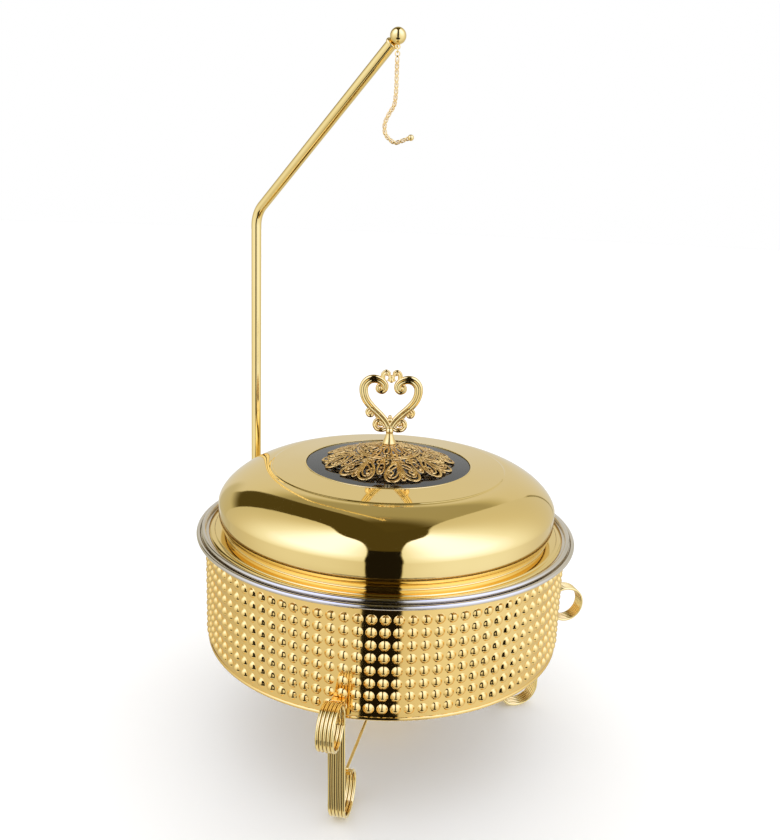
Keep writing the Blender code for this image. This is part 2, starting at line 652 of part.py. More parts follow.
def pole():
    """The pole: upright, bend and slanted arm, in the plane through the drum's axis."""
    foot = SOCKET_MOUTH - SOCKET_LENGTH + SOCKET_WALL + TOUCH
    rise = BALL_HEIGHT - BEND_HEIGHT
    run = POLE_DISTANCE - BALL_REACH_SHORT
    slope = math.atan2(rise, run)
    turn = math.pi / 2 - slope
    tangent = BEND_RADIUS * math.tan(turn / 2)
    bend = arc(POLE_DISTANCE - BEND_RADIUS, BEND_HEIGHT - tangent, BEND_RADIUS,
               0, math.degrees(turn), 7)
    ball_gap = BALL_RADIUS + TOUCH + COLLAR_LENGTH + TOUCH
    along = Vector((-math.cos(slope), math.sin(slope)))
    end = Vector((BALL_REACH_SHORT, BALL_HEIGHT)) - along * ball_gap
    route = [(POLE_DISTANCE, foot)] + bend + [tuple(end)]
    points = [place(POLE_AZIMUTH, r, z) for r, z in route]
    dress(rod("lid_pole", points, POLE_RADIUS, sides=4), "gold")
    tilt = Matrix.Rotation(-(math.pi / 2 - slope), 4, "Y")
    centre = place(POLE_AZIMUTH, BALL_REACH_SHORT, BALL_HEIGHT)
    sink = math.sqrt(BALL_RADIUS ** 2 - (0.5 * COLLAR_RADIUS) ** 2)
    collar_top = -sink - TOUCH
    collar = [(0.0, -BALL_RADIUS - TOUCH), (0.5 * COLLAR_RADIUS, collar_top),
              (COLLAR_RADIUS, collar_top - COLLAR_EASE), (COLLAR_RADIUS, -ball_gap + TOUCH),
              (0.0, -ball_gap + TOUCH)]
    where = Matrix.Translation(centre) @ facing(POLE_AZIMUTH) @ tilt
    dress(turned("pole_collar", collar, closed=False, steps=SMALL_STEPS, position=where), "gold")
    ball_and_hook(centre)


def ball_and_hook(centre):
    """The ball on the arm, with its eye, the loose ring and the lid hook."""
    bpy.ops.mesh.primitive_uv_sphere_add(segments=20, ring_count=12, radius=BALL_RADIUS)
    ball = bpy.context.object
    ball.name = "pole_ball"
    for group in list(ball.users_collection):
        group.objects.unlink(ball)
    PARTS.objects.link(ball)
    ball.location = centre
    spacing = LINK_RADIUS + LOOSE_RING_RADIUS - 2 * LINK_WIRE - TOUCH
    eye_height = BALL_BOTTOM - LINK_RADIUS + LINK_WIRE
    eye = ring("ball_eye", LINK_RADIUS, LINK_WIRE)
    eye.location = (centre.x, centre.y, eye_height)
    combine(ball, eye)
    dress(ball, "gold")
    loose = ring("hook_ring", LOOSE_RING_RADIUS, LINK_WIRE)
    loose.rotation_euler.z = math.pi / 2
    loose.location = (centre.x, centre.y, eye_height - spacing)
    dress(loose, "gold")
    hook_eye_height = eye_height - 2 * spacing
    shank_top = hook_eye_height - LINK_RADIUS - LINK_WIRE
    bend_top = shank_top - HOOK_SHANK
    chosen = [(0.0, 0.0), (-0.14, 0.26), (-0.54, 0.41), (-0.94, 0.59), (-1.0, 0.72),
              (-0.89, 0.84), (-0.52, 0.93), (0.03, 1.0)]
    bend = [(HOOK_SIDE * x, -HOOK_BEND * z) for x, z in chosen]
    bend += [(0.35 * HOOK_TIP, -0.975 * HOOK_BEND), (0.68 * HOOK_TIP, -0.93 * HOOK_BEND),
             (HOOK_TIP, -0.89 * HOOK_BEND)]
    route = [(0.0, 0.0, HOOK_SHANK + LINK_WIRE)] + [(x, 0.0, z) for x, z in smooth_route(bend, 3)]
    hook = solid(rod("lid_hook", route, HOOK_ROD))
    hook.location = (centre.x, centre.y, bend_top)
    hook_eye = ring("hook_eye", LINK_RADIUS, LINK_WIRE)
    hook_eye.location = (centre.x, centre.y, hook_eye_height)
    combine(hook, hook_eye)
    shape = bmesh.new()
    bmesh.ops.create_uvsphere(shape, u_segments=12, v_segments=8, radius=HOOK_BEAD)
    bead = add_mesh("hook_bead", shape)
    bead.location = (centre.x + HOOK_TIP, centre.y, bend_top - 0.89 * HOOK_BEND)
    combine(hook, bead)
    dress(hook, "gold")


def socket():
    """The pole's socket, its bracket on the drum and the thumb screw that grips the pole."""
    axis = place(POLE_AZIMUTH, POLE_DISTANCE)
    inner = POLE_RADIUS + RUNNING
    base = SOCKET_MOUTH - SOCKET_LENGTH
    profile = [(0.0, base + SOCKET_WALL), (inner, base + SOCKET_WALL), (inner, SOCKET_MOUTH),
               (SOCKET_RADIUS, SOCKET_MOUTH), (SOCKET_RADIUS, base), (0.0, base)]
    tube = turned("pole_socket", profile, closed=False, steps=24, position=Matrix.Translation(axis))
    screw_height = SOCKET_MOUTH - 0.3 * SOCKET_LENGTH
    outwards = facing(POLE_AZIMUTH) @ Matrix.Rotation(math.pi / 2, 4, "Y")
    bore = cylinder("screw_bore", SCREW_RADIUS + RUNNING, 2 * SOCKET_RADIUS)
    bore.matrix_world = Matrix.Translation(axis + Vector((0.0, 0.0, screw_height))) @ outwards
    combine(tube, bore, "DIFFERENCE")
    dress(tube, "gold")
    shank_start = POLE_RADIUS + TOUCH
    knob_start = SOCKET_RADIUS + SCREW_NECK
    knob_end = knob_start + SCREW_KNOB_LENGTH
    screw = [(0.0, knob_end), (0.8 * SCREW_KNOB_RADIUS, knob_end),
             (SCREW_KNOB_RADIUS, knob_end - 0.15 * SCREW_KNOB_LENGTH),
             (SCREW_KNOB_RADIUS, knob_start), (SCREW_RADIUS, knob_start),
             (SCREW_RADIUS, shank_start), (0.0, shank_start)]
    dress(turned("thumb_screw", screw, closed=False, steps=12, position=bore.matrix_world.copy()), "gold")
    bracket_start = DRUM_RADIUS + 2 * TOUCH
    bracket_depth = POLE_OFFSET - 2 * TOUCH - SOCKET_RADIUS - TOUCH
    bracket_height = 0.75 * SOCKET_LENGTH
    bracket = block("socket_bracket", BRACKET_WIDTH, bracket_depth, bracket_height)
    spot = place(POLE_AZIMUTH, bracket_start, base + 0.2 * SOCKET_LENGTH)
    bracket.matrix_world = Matrix.Translation(spot) @ facing(POLE_AZIMUTH)
    dress(bracket, "gold")


def centre_on_floor():
    """Moves everything so that the origin is on the floor under the middle of the outline."""
    bpy.context.view_layer.update()
    graph = bpy.context.evaluated_depsgraph_get()
    corners = []
    for piece in PARTS.objects:
        seen = piece.evaluated_get(graph)
        mesh = seen.to_mesh()
        corners += [seen.matrix_world @ vertex.co for vertex in mesh.vertices]
        seen.to_mesh_clear()
    low = Vector([min(corner[i] for corner in corners) for i in range(3)])
    high = Vector([max(corner[i] for corner in corners) for i in range(3)])
    middle = (low + high) / 2
    for piece in list(PARTS.objects) + list(GUIDES.objects):
        piece.location -= Vector((middle.x, middle.y, low.z))


drum()
pans()
lid_dome()
window()
rosette()
handle()
handle_fixings()
burner(legs())
socket()
pole()
centre_on_floor()
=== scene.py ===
import math

import bmesh
import bpy
from mathutils import Matrix, Vector


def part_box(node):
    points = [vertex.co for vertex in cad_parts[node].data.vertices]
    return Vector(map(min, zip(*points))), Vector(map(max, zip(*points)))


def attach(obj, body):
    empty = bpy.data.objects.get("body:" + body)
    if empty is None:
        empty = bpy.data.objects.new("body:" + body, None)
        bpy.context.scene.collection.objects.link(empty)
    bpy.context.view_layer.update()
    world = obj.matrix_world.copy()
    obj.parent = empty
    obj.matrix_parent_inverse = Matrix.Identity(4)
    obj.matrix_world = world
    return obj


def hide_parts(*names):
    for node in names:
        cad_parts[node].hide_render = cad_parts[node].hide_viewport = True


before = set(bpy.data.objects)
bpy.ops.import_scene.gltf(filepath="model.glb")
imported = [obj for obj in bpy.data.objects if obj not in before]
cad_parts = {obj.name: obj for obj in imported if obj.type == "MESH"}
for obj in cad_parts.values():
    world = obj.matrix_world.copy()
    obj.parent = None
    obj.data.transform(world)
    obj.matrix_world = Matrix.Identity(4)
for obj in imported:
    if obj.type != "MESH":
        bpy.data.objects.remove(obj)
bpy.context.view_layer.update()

# ---------------------------------------------------------------- places read from the frame
def drum_axis():
    """The point on the floor under the drum's axis."""
    low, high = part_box("drum_band")
    return Vector(((low.x + high.x) / 2, (low.y + high.y) / 2, 0.0))


AXIS = drum_axis()


def box(node):
    """A node's lowest and highest corners, measured from the drum's axis."""
    low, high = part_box(node)
    return low - AXIS, high - AXIS


drum_low, drum_high = box("drum_band")
water_low, water_high = box("water_pan")
food_low, food_high = box("food_pan")
lid_low, lid_high = box("lid_dome")
glass_low, glass_high = box("window_glass")
seal_low, seal_high = box("window_seal")
rosette_low, rosette_high = box("filigree_rosette")
handle_low, handle_high = box("lid_handle")
nut_low, nut_high = box("handle_nut")
washer_low, washer_high = box("handle_washer")
ball_low, ball_high = box("pole_ball")
_, hook_high = box("lid_hook")
link_low, link_high = box("hook_ring")
socket_low, socket_high = box("pole_socket")
pole_low, _ = box("lid_pole")
plate_low, plate_high = box("burner_plate")
cup_low, cup_high = box("burner_cup")
fuel_low, fuel_high = box("fuel_gel")
cover_low, cover_high = box("burner_cover")
pin_low, pin_high = box("cover_pin")

MM = 0.001
TOUCH = 0.3 * MM
PAN_SHEET = 0.8 * MM
LID_SHEET = 0.8 * MM
RIM_RADIUS = water_high.x
LEG_AZIMUTHS = {"front": -11.0, "right": 104.6, "rear": -135.0}
POLE_AZIMUTH = -130.0


# ---------------------------------------------------------------- mesh helpers
def place(azimuth, radius, height=0.0):
    """A point at an azimuth in degrees, 0 at the front and positive towards +X."""
    turn = math.radians(azimuth)
    return Vector((radius * math.sin(turn), -radius * math.cos(turn), height))


def facing(azimuth):
    """Turns a shape so that its +X points outwards at an azimuth."""
    return Matrix.Rotation(math.radians(azimuth - 90.0), 4, "Z")


def arc(centre_x, centre_z, radius, start, end, steps):
    """Points along an arc, with angles in degrees."""
    angles = [math.radians(start + (end - start) * i / steps) for i in range(steps + 1)]
    return [(centre_x + radius * math.cos(a), centre_z + radius * math.sin(a)) for a in angles]


def rounded(corners, steps=5):
    """A profile through corners (x, z, easing), each corner eased by the length given."""
    points = []
    for i, (x, z, ease) in enumerate(corners):
        corner = Vector((x, z))
        if ease == 0 or i in (0, len(corners) - 1):
            points.append((x, z))
            continue
        back = Vector(corners[i - 1][:2]) - corner
        ahead = Vector(corners[i + 1][:2]) - corner
        start = corner + back.normalized() * min(ease, 0.48 * back.length)
        end = corner + ahead.normalized() * min(ease, 0.48 * ahead.length)
        for k in range(steps + 1):
            t = k / steps
            spot = start * (1 - t) ** 2 + corner * (2 * t * (1 - t)) + end * t ** 2
            points.append((spot.x, spot.y))
    return points


def smooth_route(points, per_span=8, closed=False):
    """Points on a smooth curve through a few chosen points of any dimension."""
    ends = ([points[-1]], points[:2]) if closed else ([points[0]], [points[-1]])
    padded = ends[0] + list(points) + ends[1]
    route = []
    for before, start, end, after in zip(padded, padded[1:], padded[2:], padded[3:]):
        for step in range(per_span):
            t = step / per_span
            route.append(tuple(
                0.5 * (2 * b + (c - a) * t + (2 * a - 5 * b + 4 * c - d) * t ** 2
                       + (3 * b - a - 3 * c + d) * t ** 3)
                for a, b, c, d in zip(before, start, end, after)))
    if not closed:
        route.append(tuple(points[-1]))
    return route


def settle(shape):
    """Merges doubles and turns the faces outwards."""
    bmesh.ops.remove_doubles(shape, verts=shape.verts, dist=0.000002)
    bmesh.ops.recalc_face_normals(shape, faces=shape.faces)


def add_piece(name, shape, sharp=35.0):
    """Puts a bmesh into a new object, smooth across its soft edges."""
    mesh = bpy.data.meshes.new(name)
    shape.to_mesh(mesh)
    shape.free()
    mesh.shade_smooth()
    mesh.set_sharp_from_angle(angle=math.radians(sharp))
    piece = bpy.data.objects.new(name, mesh)
    bpy.context.scene.collection.objects.link(piece)
    return piece


def spin_profile(shape, profile, closed, steps, matrix=None):
    """Turns a (radius, height) profile about the Z axis into a bmesh."""
    part = bmesh.new()
    points = [part.verts.new((x, 0.0, z)) for x, z in profile]
    edges = [part.edges.new(pair) for pair in zip(points, points[1:])]
    if closed:
        edges.append(part.edges.new((points[-1], points[0])))
    bmesh.ops.spin(part, geom=points + edges, cent=(0, 0, 0), axis=(0, 0, 1),
                   angle=2 * math.pi, steps=steps, use_merge=True)
    settle(part)
    if matrix is not None:
        bmesh.ops.transform(part, matrix=matrix, verts=part.verts)
    join_bmesh(shape, part)


def join_bmesh(shape, part):
    """Adds one bmesh to another and frees it."""
    carrier = bpy.data.meshes.new("carrier")
    part.to_mesh(carrier)
    part.free()
    shape.from_mesh(carrier)
    bpy.data.meshes.remove(carrier)


def spun(name, profile, closed=False, steps=192, matrix=None, sharp=35.0):
    """A turned piece."""
    shape = bmesh.new()
    spin_profile(shape, profile, closed, steps, matrix)
    return add_piece(name, shape, sharp)


def sheet_spun(name, profile, thickness, steps=192):
    """A turned piece of sheet metal: the profile is its outer face."""
    piece = spun(name, profile, steps=steps)
    wall = piece.modifiers.new("Sheet", "SOLIDIFY")
    wall.thickness = thickness
    wall.offset = -1.0
    wall.use_even_offset = True
    return piece


def sweep(shape, route, section, sizes=None, closed=False, matrix=None, flat=True):
    """Carries a section (across, up) along a route of points and adds it to a bmesh."""
    guide_curve = bpy.data.curves.new("section", "CURVE")
    guide_curve.dimensions = "2D"
    outline = guide_curve.splines.new("POLY")
    outline.points.add(len(section) - 1)
    for point, (x, y) in zip(outline.points, section):
        point.co = (x, y, 0.0, 1.0)
    outline.use_cyclic_u = True
    guide_object = bpy.data.objects.new("section", guide_curve)
    bpy.context.scene.collection.objects.link(guide_object)
    curve = bpy.data.curves.new("route", "CURVE")
    curve.dimensions = "2D" if flat else "3D"
    curve.bevel_mode = "OBJECT"
    curve.bevel_object = guide_object
    curve.use_fill_caps = True
    line = curve.splines.new("POLY")
    line.points.add(len(route) - 1)
    for i, (point, where) in enumerate(zip(line.points, route)):
        point.co = (*where, 0.0, 1.0) if len(where) == 2 else (*where, 1.0)
        if sizes:
            point.radius = sizes[i]
    line.use_cyclic_u = closed
    carrier = bpy.data.objects.new("route", curve)
    bpy.context.scene.collection.objects.link(carrier)
    bpy.context.view_layer.update()
    seen = carrier.evaluated_get(bpy.context.evaluated_depsgraph_get())
    mesh = bpy.data.meshes.new_from_object(seen)
    part = bmesh.new()
    part.from_mesh(mesh)
    settle(part)
    if matrix is not None:
        bmesh.ops.transform(part, matrix=matrix, verts=part.verts)
    join_bmesh(shape, part)
    bpy.data.meshes.remove(mesh)
    bpy.data.objects.remove(carrier, do_unlink=True)
    bpy.data.objects.remove(guide_object, do_unlink=True)


def circle_section(radius, sides=16):
    """A round section."""
    return arc(0.0, 0.0, radius, 0, 360 - 360 / sides, sides - 1)


def oval_section(across, up, sides=16):
    """An oval section, by its half width and half height."""
    return [(across * x, up * y) for x, y in circle_section(1.0, sides)]


def add_ball(shape, centre, radius, segments=16, rings=10):
    """Adds a ball to a bmesh."""
    bmesh.ops.create_uvsphere(shape, u_segments=segments, v_segments=rings, radius=radius,
                              matrix=Matrix.Translation(centre))


UPRIGHT = Matrix.Rotation(math.pi / 2, 4, "X")     # lays a flat shape into the XZ plane


# ---------------------------------------------------------------- finishes
def new_group(name, inputs, outputs):
    """Starts a shader node group with named sockets."""
    group = bpy.data.node_groups.new(name, "ShaderNodeTree")
    for label, kind, value in inputs:
        socket = group.interface.new_socket(name=label, in_out="INPUT", socket_type=kind)
        if value is not None:
            socket.default_value = value
    for label, kind in outputs:
        group.interface.new_socket(name=label, in_out="OUTPUT", socket_type=kind)
    return group, group.nodes.new("NodeGroupInput"), group.nodes.new("NodeGroupOutput")


def math_node(tree, operation, first, second=None, clamp=False):
    """A Math node on sockets or numbers."""
    node = tree.nodes.new("ShaderNodeMath")
    node.operation = operation
    node.use_clamp = clamp
    for slot, value in zip(node.inputs, (first, second)):
        if isinstance(value, bpy.types.NodeSocket):
            tree.links.new(value, slot)
        elif value is not None:
            slot.default_value = value
    return node.outputs[0]


def remap(tree, value, low, high, out_low, out_high, smooth=False):
    """A Map Range node."""
    node = tree.nodes.new("ShaderNodeMapRange")
    if smooth:
        node.interpolation_type = "SMOOTHSTEP"
    tree.links.new(value, node.inputs["Value"])
    for label, number in zip(("From Min", "From Max", "To Min", "To Max"),
                             (low, high, out_low, out_high)):
        if isinstance(number, bpy.types.NodeSocket):
            tree.links.new(number, node.inputs[label])
        else:
            node.inputs[label].default_value = number
    return node.outputs["Result"]


def noise(tree, vector, scale, detail=3.0, roughness=0.5):
    """A Noise texture's value."""
    node = tree.nodes.new("ShaderNodeTexNoise")
    node.inputs["Scale"].default_value = scale
    node.inputs["Detail"].default_value = detail
    node.inputs["Roughness"].default_value = roughness
    tree.links.new(vector, node.inputs["Vector"])
    return node.outputs["Fac"]


def build_buffing_marks():
    """Fine wiped scratches and handling smudges: puts out a roughness and a height."""
    group, inside, outside = new_group(
        "buffing_marks",
        [("Vector", "NodeSocketVector", None), ("Base Roughness", "NodeSocketFloat", 0.05),
         ("Smudge", "NodeSocketFloat", 0.05), ("Direction", "NodeSocketVector", None)],
        [("Roughness", "NodeSocketFloat"), ("Height", "NodeSocketFloat")])
    vector = inside.outputs["Vector"]
    smudge = remap(group, noise(group, vector, 14.0, 4.0, 0.6), 0.52, 0.75, 0.0, 1.0, smooth=True)
    stretch = group.nodes.new("ShaderNodeVectorMath")
    stretch.operation = "MULTIPLY"
    group.links.new(vector, stretch.inputs[0])
    group.links.new(inside.outputs["Direction"], stretch.inputs[1])
    scratch = remap(group, noise(group, stretch.outputs[0], 60.0, 5.0, 0.7), 0.45, 0.75, 0.0, 1.0)
    lifted = math_node(group, "MULTIPLY", smudge, inside.outputs["Smudge"])
    fine = math_node(group, "MULTIPLY", scratch, math_node(group, "MULTIPLY", inside.outputs["Smudge"], 0.5))
    total = math_node(group, "ADD", math_node(group, "ADD", lifted, fine), inside.outputs["Base Roughness"])
    group.links.new(total, outside.inputs["Roughness"])
    group.links.new(scratch, outside.inputs["Height"])
    return group


def build_plate_tone():
    """Cloudy drift between two tones of a plated surface."""
    group, inside, outside = new_group(
        "plate_tone",
        [("Vector", "NodeSocketVector", None), ("Light", "NodeSocketColor", (1, 1, 1, 1)),
         ("Deep", "NodeSocketColor", (0.5, 0.5, 0.5, 1)), ("Scale", "NodeSocketFloat", 8.0)],
        [("Color", "NodeSocketColor"), ("Mask", "NodeSocketFloat")])
    cloud = group.nodes.new("ShaderNodeTexNoise")
    cloud.inputs["Detail"].default_value = 3.0
    group.links.new(inside.outputs["Vector"], cloud.inputs["Vector"])
    group.links.new(inside.outputs["Scale"], cloud.inputs["Scale"])
    drift = remap(group, cloud.outputs["Fac"], 0.35, 0.7, 0.0, 1.0, smooth=True)
    mix = group.nodes.new("ShaderNodeMix")
    mix.data_type = "RGBA"
    group.links.new(drift, mix.inputs["Factor"])
    group.links.new(inside.outputs["Light"], mix.inputs["A"])
    group.links.new(inside.outputs["Deep"], mix.inputs["B"])
    group.links.new(mix.outputs["Result"], outside.inputs["Color"])
    group.links.new(drift, outside.inputs["Mask"])
    return group


BUFFING_MARKS = build_buffing_marks()
PLATE_TONE = build_plate_tone()


def place_group(tree, group, values):
    """Places a node group with its own values."""
    node = tree.nodes.new("ShaderNodeGroup")
    node.node_tree = group
    for label, value in values.items():
        if isinstance(value, bpy.types.NodeSocket):
            tree.links.new(value, node.inputs[label])
        else:
            node.inputs[label].default_value = value
    return node


def metal_finish(name, light, deep, roughness, smudge, direction=(1, 1, 1), ripple=0.0,
                 ripple_scale=30.0, marks=0.00002, tone_scale=8.0):
    """A polished metal: drifting tone, buffing marks and a faint ripple in the sheet."""
    material = bpy.data.materials.new(name)
    material.use_nodes = True
    tree = material.node_tree
    shader = tree.nodes["Principled BSDF"]
    shader.inputs["Metallic"].default_value = 1.0
    coords = tree.nodes.new("ShaderNodeTexCoord").outputs["Object"]
    tone = place_group(tree, PLATE_TONE, {"Vector": coords, "Light": (*light, 1.0),
                                          "Deep": (*deep, 1.0), "Scale": tone_scale})
    marks_node = place_group(tree, BUFFING_MARKS, {"Vector": coords, "Base Roughness": roughness,
                                                   "Smudge": smudge, "Direction": direction})
    tree.links.new(tone.outputs["Color"], shader.inputs["Base Color"])
    tree.links.new(marks_node.outputs["Roughness"], shader.inputs["Roughness"])
    scratch_bump = tree.nodes.new("ShaderNodeBump")
    scratch_bump.inputs["Strength"].default_value = 0.25
    scratch_bump.inputs["Distance"].default_value = marks
    tree.links.new(marks_node.outputs["Height"], scratch_bump.inputs["Height"])
    last = scratch_bump
    if ripple:
        wave_bump = tree.nodes.new("ShaderNodeBump")
        wave_bump.inputs["Strength"].default_value = 1.0
        wave_bump.inputs["Distance"].default_value = ripple
        tree.links.new(noise(tree, coords, ripple_scale, 1.0, 0.4), wave_bump.inputs["Height"])
        tree.links.new(scratch_bump.outputs["Normal"], wave_bump.inputs["Normal"])
        last = wave_bump
    tree.links.new(last.outputs["Normal"], shader.inputs["Normal"])
    return material


def smoked_glass_finish():
    """Dark tinted glass, with a film of dust and wiping marks on top."""
    material = bpy.data.materials.new("smoked_window_glass")
    material.use_nodes = True
    tree = material.node_tree
    shader = tree.nodes["Principled BSDF"]
    shader.inputs["Transmission Weight"].default_value = 0.85
    shader.inputs["IOR"].default_value = 1.52
    coords = tree.nodes.new("ShaderNodeTexCoord").outputs["Object"]
    tone = place_group(tree, PLATE_TONE, {"Vector": coords, "Light": (0.030, 0.034, 0.040, 1.0),
                                          "Deep": (0.016, 0.018, 0.022, 1.0), "Scale": 20.0})
    marks_node = place_group(tree, BUFFING_MARKS, {"Vector": coords, "Base Roughness": 0.03,
                                                   "Smudge": 0.02, "Direction": (1, 1, 1)})
    tree.links.new(tone.outputs["Color"], shader.inputs["Base Color"])
    tree.links.new(marks_node.outputs["Roughness"], shader.inputs["Roughness"])
    return material


def matt_finish(name, light, deep, roughness, grain, grain_scale, sheen=0.0, clear=0.0):
    """A matt or waxy material with a fine grain."""
    material = bpy.data.materials.new(name)
    material.use_nodes = True
    tree = material.node_tree
    shader = tree.nodes["Principled BSDF"]
    if sheen:
        shader.inputs["Sheen Weight"].default_value = sheen
    if clear:
        shader.inputs["Coat Weight"].default_value = clear
    coords = tree.nodes.new("ShaderNodeTexCoord").outputs["Object"]
    tone = place_group(tree, PLATE_TONE, {"Vector": coords, "Light": (*light, 1.0),
                                          "Deep": (*deep, 1.0), "Scale": 30.0})
    marks_node = place_group(tree, BUFFING_MARKS, {"Vector": coords, "Base Roughness": roughness,
                                                   "Smudge": 0.15, "Direction": (1, 1, 1)})
    tree.links.new(tone.outputs["Color"], shader.inputs["Base Color"])
    tree.links.new(marks_node.outputs["Roughness"], shader.inputs["Roughness"])
    bump = tree.nodes.new("ShaderNodeBump")
    bump.inputs["Strength"].default_value = 0.5
    bump.inputs["Distance"].default_value = grain
    tree.links.new(noise(tree, coords, grain_scale, 4.0, 0.6), bump.inputs["Height"])
    tree.links.new(bump.outputs["Normal"], shader.inputs["Normal"])
    return material


GOLD_LIGHT = (0.94, 0.705, 0.275)
GOLD_DEEP = (0.915, 0.675, 0.25)
LID_GOLD = metal_finish("mirror_gold_lid", GOLD_LIGHT, GOLD_DEEP, 0.035, 0.035, (1, 1, 6),
                        ripple=0.00012, ripple_scale=9.0)
BAND_GOLD = metal_finish("pressed_gold_band", (0.915, 0.625, 0.205), (0.88, 0.58, 0.175), 0.05, 0.05,
                         (1, 1, 4), ripple=0.00008, ripple_scale=60.0)
ROD_GOLD = metal_finish("drawn_gold_rod", GOLD_LIGHT, GOLD_DEEP, 0.06, 0.05, (4, 4, 0.6))
CAST_GOLD = metal_finish("cast_gold", (0.94, 0.70, 0.28), (0.88, 0.60, 0.20), 0.07, 0.06, (1, 1, 1),
                         ripple=0.00012, ripple_scale=240.0, tone_scale=60.0)
FILIGREE_GOLD = metal_finish("filigree_gold", (0.90, 0.60, 0.20), (0.64, 0.37, 0.10), 0.18, 0.12,
                             (1, 1, 1), ripple=0.0004, ripple_scale=700.0, tone_scale=120.0)
PAN_STEEL = metal_finish("spun_steel_pan", (0.74, 0.665, 0.545), (0.61, 0.548, 0.45), 0.08, 0.06,
                         (1, 1, 20), marks=0.00003)
# A near-black metal laid between the leg wires: painted shade in the gaps between them.
PAINTED_GAP_SHADE = metal_finish("painted_gap_shade_strip", (0.10, 0.055, 0.018), (0.05, 0.028, 0.010), 0.34, 0.10,
                            (1, 1, 1))
PLAIN_STEEL = metal_finish("plain_steel", (0.62, 0.62, 0.62), (0.5, 0.5, 0.5), 0.22, 0.1, (1, 1, 8))
SMOKED_GLASS = smoked_glass_finish()
BLACK_RUBBER = matt_finish("black_silicone", (0.03, 0.03, 0.032), (0.018, 0.018, 0.02), 0.5,
                           0.00005, 900.0, sheen=0.1)
FUEL_GEL = matt_finish("fuel_gel", (0.70, 0.42, 0.55), (0.62, 0.34, 0.48), 0.25, 0.0004, 90.0,
                       clear=0.6)


def finish(piece, material, body, slot, *nodes):
    """Gives a piece its material, its body and the CAD nodes it stands for; the slot argument is not used."""
    piece.data.transform(Matrix.Translation(AXIS))
    piece.data.materials.clear()
    piece.data.materials.append(material)
    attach(piece, body)
    if nodes:
        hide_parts(*nodes)
    return piece


# ---------------------------------------------------------------- drum
PEARL_COLUMNS = 96
PEARL_ROWS = 8
PEARL_PITCH = 11.9 * MM
PEARL_RADIUS = 4.6 * MM
PEARL_HEIGHT = 2.9 * MM
PEARL_PHASE = 0.9
DRUM_BEAD = 1.8 * MM
DRUM_WALL = 1.2 * MM
DRUM_RADIUS = drum_high.x - TOUCH - DRUM_BEAD / 2
TOP_ROW = drum_high.z - 15.4 * MM


def make_drum():
    """The drum's wall with a rolled lower bead and a folded top."""
    wall = DRUM_RADIUS
    inner = wall - DRUM_WALL
    bead_r = wall + TOUCH - DRUM_BEAD / 2
    bead_z = drum_low.z + DRUM_BEAD
    start = math.degrees(math.acos((wall - bead_r) / DRUM_BEAD))
    end = -360 + math.degrees(math.acos((inner - bead_r) / DRUM_BEAD))
    profile = rounded([(inner, bead_z + 3 * MM, 0), (inner, drum_high.z, 0.5 * MM),
                       (wall, drum_high.z, 0.5 * MM), (wall, bead_z + 6 * MM, 0),
                       (wall, bead_z + 3 * MM, 0)])
    profile += arc(bead_r, bead_z, DRUM_BEAD, start, end, 20)
    drum = spun("drum_wall", profile, closed=True, steps=240)
    finish(drum, BAND_GOLD, "stand", "gold_plate", "drum_band")


def pearl_profile():
    """A raised pearl with a small flared foot, closed inside the wall."""
    ball = (PEARL_RADIUS ** 2 + PEARL_HEIGHT ** 2) / (2 * PEARL_HEIGHT)
    edge = math.degrees(math.asin((ball - PEARL_HEIGHT) / ball))
    cap = arc(0.0, PEARL_HEIGHT - ball, ball, edge + 4, 90, 5)
    foot = [(0.0, -0.6 * MM), (PEARL_RADIUS + 0.3 * MM, -0.6 * MM), (PEARL_RADIUS + 0.3 * MM, 0.02 * MM)]
    return foot + cap


def make_pearls():
    """Rows of pearls round the drum, left out under the pole's bracket."""
    template = bmesh.new()
    spin_profile(template, pearl_profile(), closed=False, steps=14)
    pearl = bpy.data.meshes.new("pearl")
    template.to_mesh(pearl)
    template.free()
    bracket_low, bracket_high = box("socket_bracket")
    shape = bmesh.new()
    outwards = Matrix.Rotation(math.pi / 2, 4, "Y")
    for column in range(PEARL_COLUMNS):
        azimuth = PEARL_PHASE + 360.0 * column / PEARL_COLUMNS
        off_bracket = abs((azimuth - POLE_AZIMUTH + 180) % 360 - 180)
        for row in range(PEARL_ROWS):
            height = TOP_ROW - PEARL_PITCH * row
            under = bracket_low.z - PEARL_RADIUS < height < bracket_high.z + PEARL_RADIUS
            if off_bracket < 5.2 and under:
                continue
            spot = Matrix.Translation(place(azimuth, DRUM_RADIUS - 0.05 * MM, height))
            start = len(shape.verts)
            shape.from_mesh(pearl)
            shape.verts.ensure_lookup_table()
            bmesh.ops.transform(shape, matrix=spot @ facing(azimuth) @ outwards,
                                verts=shape.verts[start:])
    bpy.data.meshes.remove(pearl)
    finish(add_piece("drum_pearls", shape, sharp=50), BAND_GOLD, "stand", "gold_plate")


# ---------------------------------------------------------------- pans
WATER_BEAD = 2.2 * MM
FOOD_BEAD = 2.3 * MM
PAN_CORNER = 14 * MM
WATER_WALL = DRUM_RADIUS - DRUM_WALL - 3.8 * MM
FOOD_WALL = WATER_WALL - PAN_SHEET - 7.2 * MM


